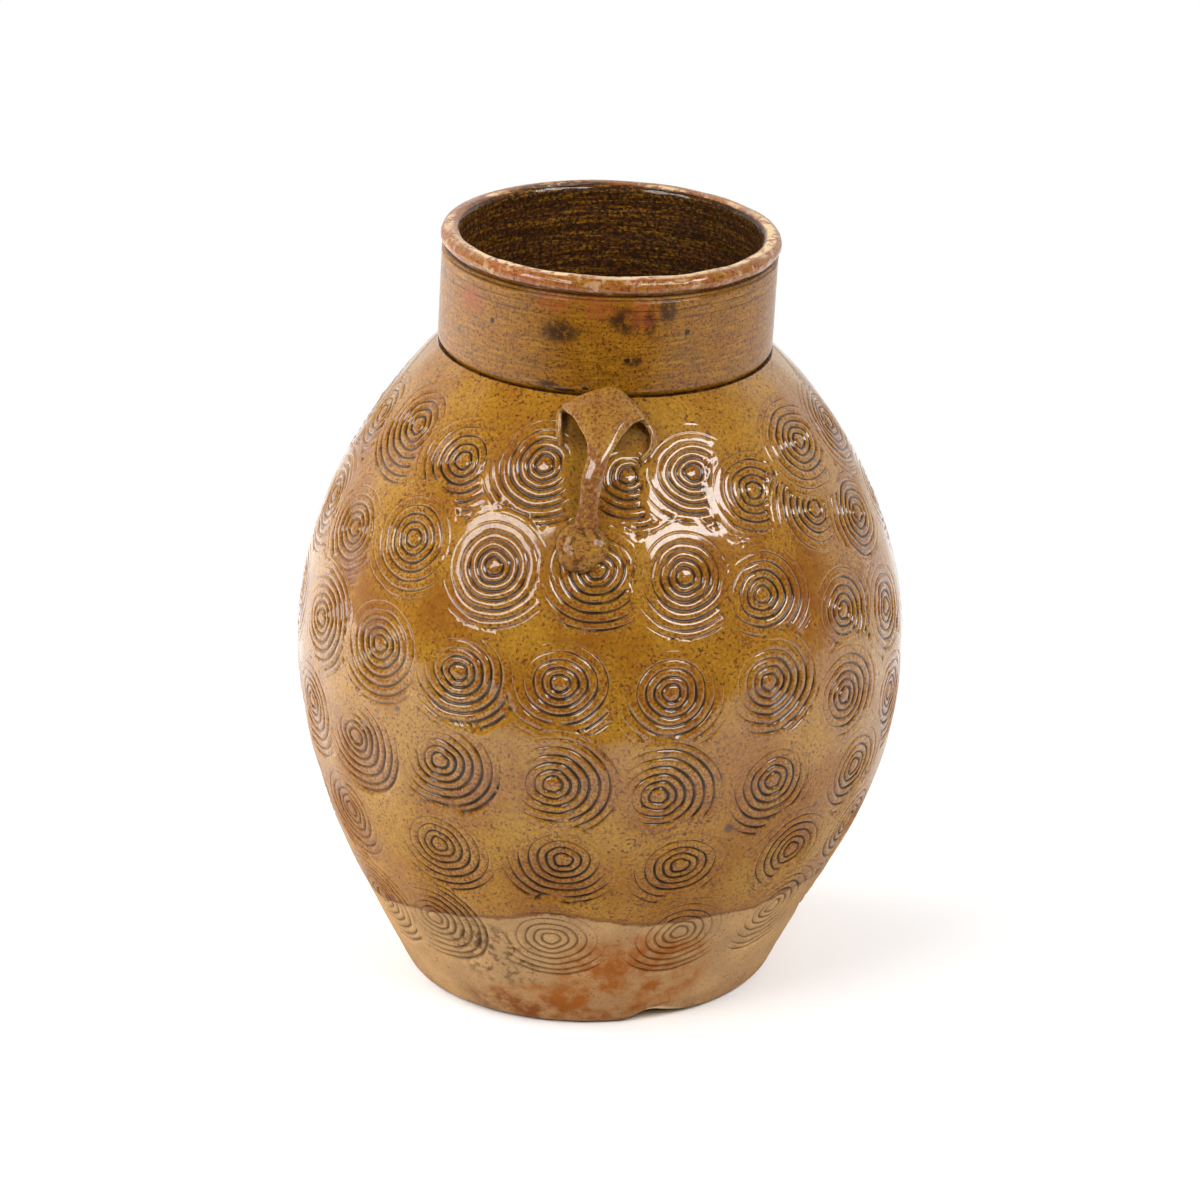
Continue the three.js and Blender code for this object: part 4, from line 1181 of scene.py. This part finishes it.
class BodyHalf(JarPiece):
    """Half of the body: its side of the stamped sheet, its inside and the edges between them."""

    slot = "body_glaze"
    finishes = (body_glaze, inside_glaze)
    INSIDE_COLUMNS = 128
    RIB = 0.3 * MM
    RIB_PITCH = 9 * MM
    OUTSIDE_UV = np.array(((0.01, 0.36), (0.99, 0.98)))
    INSIDE_UV = (0.01, 0.06, 0.99, 0.34)
    TOP_UV = (0.01, 0.03, 0.99, 0.05)
    FOOT_UV = (0.01, 0.005, 0.99, 0.025)

    def joint(self, shape):
        """Radius and height of the luted joint's inner edge."""
        return shape.belly_radius - shape.wall_thickness, shape.belly_height + shape.belly_bevel

    def build(self, scene, wall, shell):
        sheet = body_sheet()
        half = math.pi * wall.shape.belly_radius
        middle = sheet.flat[sheet.triangles].mean(axis=1)[:, 1]
        triangles = sheet.triangles[(middle > 0) == self.upper]
        used = np.unique(triangles)
        cuts = [used[np.abs(sheet.flat[used, 0] - side) < sheet.ON_BORDER] for side in (-half, half)]
        left, right = (cut[np.argsort(sheet.flat[cut, 1])] for cut in cuts)
        own = np.setdiff1d(used, right)
        numbers = np.full(len(sheet.flat), -1)
        numbers[own] = shell.add(sheet.places[own], groove=sheet.groove[own], crest=sheet.crest[own])
        numbers[right] = numbers[left]
        low, high = sheet.flat[used, 1].min(), sheet.flat[used, 1].max()
        uv = (sheet.flat - (-half, low)) / (2 * half, high - low)
        uv = uv * (self.OUTSIDE_UV[1] - self.OUTSIDE_UV[0]) + self.OUTSIDE_UV[0]
        shell.cover(numbers[triangles], uv[triangles], 0)
        inner = self.inside(wall)
        ribs = np.sin(2 * math.pi * inner[:, 1:] / self.RIB_PITCH + turns(self.INSIDE_COLUMNS))
        radius = inner[:, :1] + self.RIB * ribs
        radius[[0, -1]] = inner[[0, -1], :1]
        grid = turned(shell, wall, radius, inner[:, 1:])
        shell.grid(grid, self.INSIDE_UV, 1, 1)
        shell.bridge(numbers[sheet.border(high)], grid[0], self.TOP_UV, 2, 1)
        shell.bridge(grid[-1], numbers[sheet.border(low)], self.FOOT_UV, 3, 1)


class JAR_OT_lower_wall(BodyHalf, Operator):
    """Make the lower half of the body"""

    bl_idname = "jar.lower_wall"
    bl_label = "Lower wall"
    node = "lower_wall"
    piece = "lower_wall_stamped"
    upper = False
    ROWS = 44
    COVE_ROWS = 8

    def inside(self, wall):
        """Radii and heights of the inside, from the belly down to the floor."""
        shape = wall.shape
        runs = np.linspace(wall.run_at(shape.belly_height), wall.run_at(shape.floor_thickness), self.ROWS)
        outline = np.stack(wall.outline(runs, -shape.wall_thickness), 1)
        side = outline[outline[:, 1] > shape.floor_thickness + shape.floor_cove]
        corner = np.array((side[-1, 0] - math.sin(shape.foot_lean) * shape.floor_cove, shape.floor_thickness))
        cove = arc(side[-1], corner, corner - (shape.floor_cove, 0), self.COVE_ROWS)
        return np.concatenate(([self.joint(shape)], side, cove[1:]))


class JAR_OT_upper_wall(BodyHalf, Operator):
    """Make the upper half of the body"""

    bl_idname = "jar.upper_wall"
    bl_label = "Upper wall"
    node = "upper_wall"
    piece = "upper_wall_stamped"
    upper = True
    ROWS = 40
    CLEAR = 1 * MM

    def inside(self, wall):
        """Radii and heights of the inside, from the neck down to the belly."""
        shape = wall.shape
        mouth = (shape.neck_radius - shape.neck_thickness, wall.neck_root)
        joint = self.joint(shape)
        runs = np.linspace(wall.run[-1], wall.run_at(shape.belly_height), self.ROWS)
        outline = np.stack(wall.outline(runs, -shape.wall_thickness), 1)
        between = (outline[:, 1] > joint[1] + self.CLEAR) & (outline[:, 1] < mouth[1] - self.CLEAR)
        return np.concatenate(([mouth], outline[between], [joint]))


class JAR_OT_floor(JarPiece, Operator):
    """Make the floor slab, with its worn and chipped foot"""

    bl_idname = "jar.floor"
    bl_label = "Floor slab"
    node = "floor_disc"
    piece = "floor_slab"
    slot = "bare_clay"
    finishes = (bare_clay, inside_glaze)
    COLUMNS = Sheet.COLUMNS
    # Rows of points: round the edge, up the side, and over the underside and the top as shares of the radius
    EDGE_ROWS = 9
    SIDE_ROWS = 8
    UNDER_ROWS = np.linspace(0.08, 0.96, 10)
    TOP_ROWS = np.linspace(0.97, 0.08, 9)[:, None]
    # Wear at the foot's edge: how uneven and how deep
    WEAR = 0.5 * MM
    WEAR_DEPTH = 0.3 * MM
    # The chip in the edge: azimuth in degrees and height in mm, then how ragged, how far in and how far up
    CHIP = ((10, 0), (14, 3.2), (18, 6.2), (22, 6.6), (27, 4.4), (31, 2.6), (36, 2.2), (41, 0.8), (46, 0))
    CHIP_RAGGED = 0.12
    CHIP_IN = 1.1
    CHIP_UP = 0.35
    FLAT = 1 * MM
    BARE = 1.2 * MM

    def outline(self, wall):
        """Radii and heights of the underside, the rounded edge and the side."""
        shape = wall.shape
        start, end = wall.run_at(shape.foot_round), wall.run_at(shape.floor_thickness)
        foot = np.array((shape.foot_radius - shape.foot_round, 0.0))
        under = np.stack((self.UNDER_ROWS * foot[0], 0 * self.UNDER_ROWS), 1)
        edge = arc(foot, np.array((shape.foot_radius, 0.0)), np.array(wall.outline(start)), self.EDGE_ROWS)
        side = wall.outline(np.linspace(start, end, self.SIDE_ROWS)[1:])
        return np.concatenate((under, edge, np.stack(side, 1)))

    def build(self, scene, wall, shell):
        shape = wall.shape
        around = turns(self.COLUMNS)
        outline = self.outline(wall)
        radius, height = (np.repeat(outline[:, [axis]], self.COLUMNS, 1) for axis in (0, 1))
        worn = smooth(1 - height / shape.floor_thickness) * rise(radius / shape.foot_radius, 0.85, 0.1)
        radius = radius + worn * (self.WEAR * hum(around, 3, 14) - self.WEAR_DEPTH)
        chip = np.interp(np.degrees(around), *np.array(self.CHIP).T) * MM
        chip = chip * (1 + self.CHIP_RAGGED * hum(around, 5, 20))
        missing = np.maximum(0, chip - height) * rise(radius / shape.foot_radius, 0.7, 0.2)
        radius = radius - self.CHIP_IN * missing
        radius[-1] = outline[-1, 0]
        lifted = missing * rise(radius / shape.foot_radius, 0.8, 0.12) * self.CHIP_UP
        height = height + np.where(height < self.FLAT, lifted, 0)
        radius[-1] += wall.uneven(around, shape.floor_thickness)
        grid = turned(shell, wall, radius, height, crest=smooth(missing / self.BARE))
        shell.grid(grid, (0.01, 0.3, 0.99, 0.99), 0)
        shell.cap(grid[0, :0:-1], (0.205, 0.145), (0.195, 0.135), 0, 0, wall.settle((0, 0, 0)))
        inner = np.repeat(self.TOP_ROWS * outline[-1, 0], self.COLUMNS, 1)
        top = turned(shell, wall, inner, shape.floor_thickness)
        shell.grid(np.concatenate((grid[-1:], top)), (0.45, 0.01, 0.99, 0.28), 1, 1)
        shell.cap(top[-1, :-1], (0.425, 0.025), 0.015, 2, 1, wall.settle((0, 0, shape.floor_thickness)))


class JAR_OT_neck(JarPiece, Operator):
    """Make the upright neck"""

    bl_idname = "jar.neck"
    bl_label = "Neck"
    node = "neck_collar"
    piece = "neck_collar_turned"
    slot = "neck_glaze"
    finishes = (neck_glaze, inside_glaze)
    COLUMNS = Sheet.COLUMNS
    ROWS = 72
    LINE_ROWS = 16
    BORE_ROWS = 48
    # Throwing marks outside, the neck's own unevenness, and ribs inside, all in mm and fading at both ends
    THROWING = 0.025
    OUT_OF_ROUND = 0.25
    RIBS = 0.35
    END_FADE = 3 * MM
    # Lines deeper than this fill with dark glaze, above a height over the neck's foot
    LINE_DEPTH = 0.25 * MM
    LINE_FADE = 0.5 * MM
    LINE_SHADE = 0.8
    LINES_FROM = 20 * MM

    def ends(self, wall, heights):
        """1 along the neck, and 0 at both ends."""
        return smooth(np.minimum(heights - wall.neck_root, wall.rim_foot - heights) / self.END_FADE)

    def corners(self, wall):
        """Radii and heights of the outside's corners, from the foot groove to the two lines under the rim."""
        shape = wall.shape
        line_top = wall.rim_foot - shape.cordon_drop + shape.cordon_height
        line_foot = line_top - shape.cordon_height
        hollow = shape.neck_radius - shape.cordon_depth
        return np.array((
            (shape.neck_radius - shape.groove_depth, wall.neck_root),
            (shape.neck_radius - 0.6 * shape.groove_depth, wall.neck_root + 0.3 * shape.groove_height),
            (shape.neck_radius, wall.neck_root + shape.groove_height),
            (shape.neck_radius, line_foot - 0.5 * shape.cordon_height),
            (hollow, line_foot),
            (shape.neck_radius, (line_foot + line_top) / 2),
            (hollow, line_top),
            (shape.neck_radius - shape.rim_undercut, wall.rim_foot),
        )), line_foot

    def build(self, scene, wall, shell):
        shape = wall.shape
        around = turns(self.COLUMNS)
        corners, line_foot = self.corners(wall)
        heights = np.unique(np.concatenate((
            np.linspace(wall.neck_root, wall.rim_foot, self.ROWS),
            np.linspace(line_foot - 1 * MM, wall.rim_foot, self.LINE_ROWS),
        )))[:, None]
        throwing = self.THROWING * hum(heights * 260 + 0.15 * np.sin(around), 11, 9)
        throwing = throwing + self.OUT_OF_ROUND * np.sin(3 * around + 1)
        radius = np.interp(heights, corners[:, 1], corners[:, 0]) + self.ends(wall, heights) * throwing * MM
        deep = rise(shape.neck_radius - radius, self.LINE_DEPTH, self.LINE_FADE)
        deep = deep * (heights > wall.neck_root + self.LINES_FROM)
        outer = turned(shell, wall, radius, heights, groove=deep * self.LINE_SHADE)
        shell.grid(outer, (0.01, 0.42, 0.99, 0.99), 0)
        levels = np.linspace(wall.rim_foot, wall.neck_root, self.BORE_ROWS)[:, None]
        ribs = self.RIBS * hum(levels * 150 + 0.3 * np.sin(around + 2), 21, 8) * self.ends(wall, levels) * MM
        bore = turned(shell, wall, shape.neck_radius - shape.neck_thickness + ribs, levels)
        shell.grid(bore, (0.01, 0.08, 0.99, 0.4), 1, 1)
        shell.grid(np.stack((outer[-1], bore[0])), (0.01, 0.05, 0.99, 0.07), 2)
        shell.grid(np.stack((bore[-1], outer[0])), (0.01, 0.01, 0.99, 0.03), 3)


class JAR_OT_rim(JarPiece, Operator):
    """Make the rolled rim, worn and chipped"""

    bl_idname = "jar.rim"
    bl_label = "Rolled rim"
    node = "rim_roll"
    piece = "rim_rolled"
    slot = "rim_glaze"
    finishes = (rim_glaze, inside_glaze)
    COLUMNS = 384
    ROWS = 44
    # Round the roll, in degrees from the outside up and over: where it starts and ends, and the inside begins
    START = -45
    END = 200
    INSIDE = 128
    # Chips and worn places: azimuth and half width in degrees, place round the roll and half width there,
    # depth in mm and how bare the clay is
    WEAR = (
        (-5, 85, 97, 34, 0, 1.1), (90, 36, 92, 30, 0.25, 1.2), (128, 5, 100, 24, 0.5, 1.1),
        (160, 10, 112, 22, 0.5, 1.1), (-160, 13, 108, 22, 0.6, 0.9), (-131, 5, 100, 20, 0.4, 1.0),
        (-92, 14, 75, 32, 0.25, 0.9), (-70, 5, 60, 14, 0.3, 0.7), (24, 3, 45, 14, 0.3, 0.5),
        (-38, 3, 40, 14, 0.3, 0.4), (66, 4, 60, 16, 0.4, 0.6),
    )
    # Dark places, given in the same way with how dark they are
    DARK_PLACES = (
        (-160, 22, 120, 30, 0.9), (160, 20, 135, 20, 0.7), (90, 40, 130, 8, 0.8), (-120, 12, 125, 20, 0.6),
    )
    SWELL = 0.25 * MM
    LUMPS = 0.12 * MM
    FLATTENED = 0.06
    TOP_CLEAR = 0.2 * MM
    # Painted shade under the roll, and how far it darkens the glaze
    UNDER_SHADE = 0.7

    def near(self, around, roll, azimuth, width, place, reach):
        """1 in an oval on the roll, and 0 away from it."""
        away = (np.degrees(around) - azimuth + 180) % 360 - 180
        return smooth(OVAL_REACH - (away / width) ** 2 - ((np.degrees(roll) - place) / reach) ** 2)

    def build(self, scene, wall, shell):
        shape = wall.shape
        around = turns(self.COLUMNS)
        inner = shape.neck_radius - shape.neck_thickness
        half = (shape.neck_radius + shape.rim_overhang - inner + shape.rim_inset) / 2
        roll = np.linspace(math.radians(self.START), math.radians(self.END), self.ROWS)[:, None]
        dent, worn = np.zeros((2, self.ROWS, self.COLUMNS))
        for *oval, depth, bare in self.WEAR:
            share = self.near(around, roll, *oval)
            dent = np.maximum(dent, depth * MM * share)
            worn = np.maximum(worn, bare * share)
        worn = worn * np.clip(0.85 + 0.5 * hum(around, 41, 9), 0, 1.2)
        dark_places = np.max([dark * self.near(around, roll, *oval) for *oval, dark in self.DARK_PLACES], axis=0)
        swell = self.SWELL * hum(around, 31, 7) + self.LUMPS * hum(around * 3 + 2 * roll, 33, 6)
        across = (half + swell) * (1 - self.FLATTENED * np.cos(roll * 2)) - dent
        upright = (shape.rim_height / 2 + swell) - dent
        radius = inner - shape.rim_inset + half + across * np.cos(roll)
        height = wall.rim_foot + shape.rim_height / 2 + upright * np.sin(roll)
        height = np.minimum(height, wall.top + self.TOP_CLEAR)
        # Painted shade under the roll
        under = self.UNDER_SHADE * rise(-np.degrees(roll), 20, 20)
        grid = turned(shell, wall, radius, height, crest=worn, groove=np.maximum(under, dark_places))
        foot = np.array(((shape.neck_radius - shape.rim_undercut,), (inner,))) + np.zeros(self.COLUMNS)
        seat = turned(shell, wall, foot, wall.rim_foot)
        inside = int(np.argmax(roll[:, 0] > math.radians(self.INSIDE)))
        shell.grid(np.concatenate((seat[:1], grid[:inside + 1])), (0.01, 0.4, 0.99, 0.99), 0)
        shell.grid(np.concatenate((grid[inside:], seat[1:])), (0.01, 0.12, 0.99, 0.38), 0, 1)
        shell.grid(seat[::-1], (0.01, 0.01, 0.99, 0.1), 1)


class JAR_OT_lug(JarPiece, Operator):
    """Make the strap lug on its two legs"""

    bl_idname = "jar.lug"
    bl_label = "Strap lug"
    node = "lug_strap"
    piece = "lug_strap_pressed"
    slot = "lug_glaze"
    finishes = (lug_glaze,)
    # Steps between the places in the net, down and across
    DOWN_STEPS = 7
    ACROSS_STEPS = 8
    # Higher powers keep the strap thick further out to its sides and ends, where it thins to an edge
    SIDE_POWER = 8
    END_POWER = 24
    THIN_EDGE = 0.02
    LUMPS = 0.25 * MM
    # Painted shade over the strap's underside
    UNDER_SHADE = 0.35
    LEG_COLUMNS = 14
    LEG_LUMPS = 0.1

    def build(self, scene, wall, shell):
        lug = scene.jar_lug
        net = spline(np.array(LUG_NET) * MM, self.DOWN_STEPS)
        net = np.swapaxes(spline(np.swapaxes(net, 0, 1), self.ACROSS_STEPS), 0, 1)
        middle = wall.shoulder(net[..., 0], net[..., 1], net[..., 2])
        rows, columns = middle.shape[:2]
        normal = np.cross(np.gradient(middle, axis=0), np.gradient(middle, axis=1))
        normal /= np.linalg.norm(normal, axis=-1, keepdims=True)
        side = np.abs(np.linspace(-1, 1, columns))
        end = np.abs(np.linspace(-1, 1, rows))[:, None]
        thick = np.maximum(self.THIN_EDGE, (1 - side**self.SIDE_POWER) * (1 - end**self.END_POWER))
        half = lug.thickness / 2 * np.sqrt(thick)
        lumps = self.LUMPS * np.sin(np.linspace(0, 9, rows))[:, None] * np.sin(np.linspace(0, 7, columns))
        outer = shell.add(wall.settle(middle + normal * (half + lumps)[..., None])).reshape(rows, columns)
        # Painted shade: the whole underside of the strap is darkened
        shade = np.full((rows, columns), self.UNDER_SHADE)
        under = shell.add(wall.settle(middle - normal * half[..., None]), groove=shade).reshape(rows, columns)
        shell.grid(outer[::-1], (0.01, 0.52, 0.7, 0.99), 0)
        shell.grid(under, (0.01, 0.01, 0.7, 0.48), 0)
        for number, edge in enumerate((np.s_[0, :], np.s_[:, -1], np.s_[-1, ::-1], np.s_[::-1, 0])):
            low = 0.01 + 0.12 * number
            shell.grid(np.stack((outer[edge], under[edge])), (0.72, low, 0.98, low + 0.1), 0)
        for number, (foot, crest) in enumerate(LUG_LEGS):
            self.leg(shell, wall, lug, foot, crest, 0.52 + 0.24 * number)

    def leg(self, shell, wall, lug, foot, crest, low):
        """A thin upright leg between its foot and its crest, drawn in the UV map from a level up."""
        foot, crest = (spline(np.array(path) * MM, self.DOWN_STEPS) for path in (foot, crest))
        tall = (crest - foot) / 2
        along = np.gradient(foot + tall, axis=0)
        thick = np.cross(along, tall)
        thick *= lug.leg_thickness / 2 / np.linalg.norm(thick, axis=1, keepdims=True)
        turn = np.linspace(0, 2 * math.pi, self.LEG_COLUMNS + 1)[:-1, None]
        lump = 1 + self.LEG_LUMPS * hum(np.linspace(0, 9, len(foot)), 51, 6)[:, None, None]
        loops = (foot + tall)[:, None] + tall[:, None] * np.cos(turn) + thick[:, None] * np.sin(turn) * lump
        numbers = shell.add(wall.settle(wall.shoulder(*np.moveaxis(loops, -1, 0)))).reshape(loops.shape[:2])
        shell.grid(closed(numbers), (0.72, low, 0.98, low + 0.2), 0)
        for end, ring in enumerate((numbers[0][::-1], numbers[-1])):
            shell.cap(ring, (0.74 + 0.05 * end, low + 0.22), 0.015, 0)


class JAR_OT_pellet(JarPiece, Operator):
    """Make the pellet over the lug's tail"""

    bl_idname = "jar.pellet"
    bl_label = "Lug pellet"
    node = "lug_pellet"
    piece = "lug_pellet_pressed"
    slot = "lug_glaze"
    finishes = (lug_glaze,)
    COLUMNS = 56
    ROWS = 30
    # From under the clay to the top, in degrees round the pellet's side
    START = -80
    END = 88
    # Shares of the radius: each wave of its outline, and the dent pressed into it at an angle
    BULGE = 0.03
    DENT = 0.07
    DENT_TURN = -0.85
    DENT_WIDTH = 0.5
    BLUNT = 0.6
    # Painted shade in the crevice round the pellet's foot: where it lies as a share of the pellet's height,
    # how wide it is and how dark
    CRACK_HEIGHT = 0.05
    CRACK_WIDTH = 0.12
    CRACK_SHADE = 0.8

    def build(self, scene, wall, shell):
        lug = scene.jar_lug
        slope = np.linspace(math.radians(self.START), math.radians(self.END), self.ROWS)[:, None]
        turn = turns(self.COLUMNS)
        bulge = np.sin(2 * turn + 0.5) + np.sin(3 * turn + 2) + hum(turn + slope, 61, 9)
        dent = smooth(1 - np.abs(turn - self.DENT_TURN) / self.DENT_WIDTH)
        out = lug.pellet_radius * (1 + self.BULGE * bulge - self.DENT * dent)
        out = out * np.abs(np.cos(slope)) ** self.BLUNT
        lumps = 0.08 * np.sin(3 * turn + 1) + 0.1 * hum(turn + 3 * slope, 63, 12)
        lift = lug.pellet_height * np.sin(slope) * (1 + lumps * np.cos(slope))
        across = lug.pellet_around + out * np.cos(turn)
        places = wall.shoulder(across, lug.pellet_down - out * np.sin(turn), lift)
        crevice_shade = smooth(1 - np.abs(lift / lug.pellet_height - self.CRACK_HEIGHT) / self.CRACK_WIDTH)
        numbers = shell.add(wall.settle(places), crest=np.ones_like(lift), groove=crevice_shade * self.CRACK_SHADE)
        numbers = numbers.reshape(lift.shape)
        shell.grid(closed(numbers), (0.01, 0.15, 0.99, 0.99), 0)
        shell.cap(numbers[0][::-1], (0.1, 0.07), 0.05, 0)
        shell.cap(numbers[-1], (0.3, 0.07), 0.05, 0)


class JAR_OT_studio(Operator):
    """Make the floor, the light and the camera"""

    bl_idname = "jar.studio"
    bl_label = "Studio"

    # Lights by the setting for their brightness: azimuth and elevation, then width and height as seen from
    # the jar, all in degrees, and whether the glaze mirrors them
    LIGHTS = (
        ("key_light", (-44, 31), (30, 24), True),
        ("fill_light", (45, 39), (40, 18), True),
        ("left_wall", (-105, 18), (50, 50), False),
        ("right_wall", (105, 18), (50, 50), False),
    )
    LIGHT_DISTANCE = 1.5
    LIGHT_AIM = Vector((0, 0, 0.2))
    FLOOR_RINGS = (0.5, 1.5, 4.0)
    FLOOR_COLUMNS = 48
    SENSOR = 36
    WHITE = (1, 1, 1)
    DARK_ROOM = (0.02, 0.02, 0.02)

    def execute(self, context):
        studio = context.scene.jar_studio
        self.floor(studio)
        self.world(context, studio)
        for name, direction, spread, mirrored in self.LIGHTS:
            lamp = self.softbox(context, name, direction, spread, getattr(studio, name))
            lamp.visible_glossy = mirrored
        self.camera(context, studio)
        context.scene.view_settings.view_transform = "Standard"
        return {"FINISHED"}

    def floor(self, studio):
        """Pale floor that keeps the jar's shadow and fades to white, with a dark room in front."""
        finish = Finish("pale_floor")
        seen = finish.node("ShaderNodeLightPath", out="Is Camera Ray")
        x, y, _ = finish.axes(finish.places())
        soft = x.math("ABSOLUTE", x) * 0.7 + 0.06
        paper = ((y + studio.paper_front) / soft).smooth(-1.0, 0.2)
        shade = finish.mix(seen.most(paper), self.DARK_ROOM, studio.floor)
        paint = finish.node("ShaderNodeBsdfPrincipled", None, {"Base Color": shade, "Roughness": 0.9})
        white = finish.node("ShaderNodeEmission", None, {"Color": self.WHITE, "Strength": 1.0})
        far = ((x * x + y * y) ** 0.5).smooth(studio.shadow_reach * 0.4, studio.shadow_reach) * seen
        shader = finish.node("ShaderNodeMixShader", None, {0: far, 1: paint, 2: white})
        finish.node("ShaderNodeOutputMaterial", None, {"Surface": shader})
        turn = turns(self.FLOOR_COLUMNS)
        circle = np.stack((np.sin(turn), -np.cos(turn), 0 * turn), 1)
        shell = Shell()
        numbers = shell.add([reach * circle for reach in self.FLOOR_RINGS]).reshape(-1, self.FLOOR_COLUMNS)
        shell.grid(closed(numbers)[::-1], (0, 0, 1, 0.5), 0)
        shell.cap(numbers[0], (0.5, 0.75), 0.2, 0)
        shell.make("pale_floor", [finish.material])

    def world(self, context, studio):
        """White to the camera, and to the jar a room that is bright behind it and dark in front."""
        world = bpy.data.worlds.new("studio")
        world.use_nodes = True
        context.scene.world = world
        finish = Finish("studio", world.node_tree)
        seen = finish.node("ShaderNodeLightPath", out="Is Camera Ray")
        behind = finish.axes(finish.node("ShaderNodeTexCoord", out="Generated"))[1].smooth(0.0, 0.6)
        room = behind * (studio.back_wall - studio.front_room) + studio.front_room
        strength = room.most(seen)
        shader = finish.node("ShaderNodeBackground", None, {"Color": self.WHITE, "Strength": strength})
        finish.node("ShaderNodeOutputWorld", None, {"Surface": shader})

    def place(self, context, name, data, azimuth, elevation, aim, distance):
        """Adds a lamp or a camera that looks at a point from a direction."""
        level = math.cos(elevation)
        away = Vector((level * math.sin(azimuth), -level * math.cos(azimuth), math.sin(elevation)))
        holder = bpy.data.objects.new(name, data)
        holder.location = Vector(aim) + away * distance
        holder.rotation_euler = away.to_track_quat("Z", "Y").to_euler()
        context.scene.collection.objects.link(holder)
        return holder

    def softbox(self, context, name, direction, spread, brightness):
        width, height = (2 * self.LIGHT_DISTANCE * math.tan(math.radians(span) / 2) for span in spread)
        light = bpy.data.lights.new(name, "AREA")
        light.shape = "RECTANGLE"
        light.size = width
        light.size_y = height
        light.energy = brightness * math.pi * width * height
        azimuth, elevation = map(math.radians, direction)
        return self.place(context, name, light, azimuth, elevation, self.LIGHT_AIM, self.LIGHT_DISTANCE)

    def camera(self, context, studio):
        camera = bpy.data.cameras.new("camera")
        camera.lens = studio.lens
        camera.sensor_width = self.SENSOR
        aim = (0, 0, studio.camera_aim)
        context.scene.camera = self.place(
            context, "camera", camera, 0, studio.camera_elevation, aim, studio.camera_distance
        )


OPERATORS = (
    JAR_OT_floor,
    JAR_OT_lower_wall,
    JAR_OT_upper_wall,
    JAR_OT_neck,
    JAR_OT_rim,
    JAR_OT_lug,
    JAR_OT_pellet,
    JAR_OT_studio,
)
GROUPS = {
    "jar_shape": JarShape,
    "ring_stamp": RingStamp,
    "jar_lug": LugShape,
    "jar_colours": JarColours,
    "jar_studio": JarStudio,
}


class JAR_PT_sidebar(Panel):
    """The jar's pieces, sizes and colours"""

    bl_idname = "JAR_PT_sidebar"
    bl_label = "Stoneware Jar"
    bl_space_type = "VIEW_3D"
    bl_region_type = "UI"
    bl_category = "Jar"

    def draw(self, context):
        for operator in OPERATORS:
            self.layout.operator(operator.bl_idname)
        for name, group in GROUPS.items():
            box = self.layout.box()
            box.label(text=group.__doc__)
            for key in group.__annotations__:
                box.prop(getattr(context.scene, name), key)


CLASSES = (*GROUPS.values(), *OPERATORS, JAR_PT_sidebar)


def register():
    for made in CLASSES:
        bpy.utils.register_class(made)
    for name, group in GROUPS.items():
        setattr(bpy.types.Scene, name, PointerProperty(type=group))


def unregister():
    for name in GROUPS:
        delattr(bpy.types.Scene, name)
    for made in reversed(CLASSES):
        bpy.utils.unregister_class(made)


def main():
    register()
    bpy.ops.jar.floor()
    bpy.ops.jar.lower_wall()
    bpy.ops.jar.upper_wall()
    bpy.ops.jar.neck()
    bpy.ops.jar.rim()
    bpy.ops.jar.lug()
    bpy.ops.jar.pellet()
    bpy.ops.jar.studio()


if __name__ == "__main__":
    main()
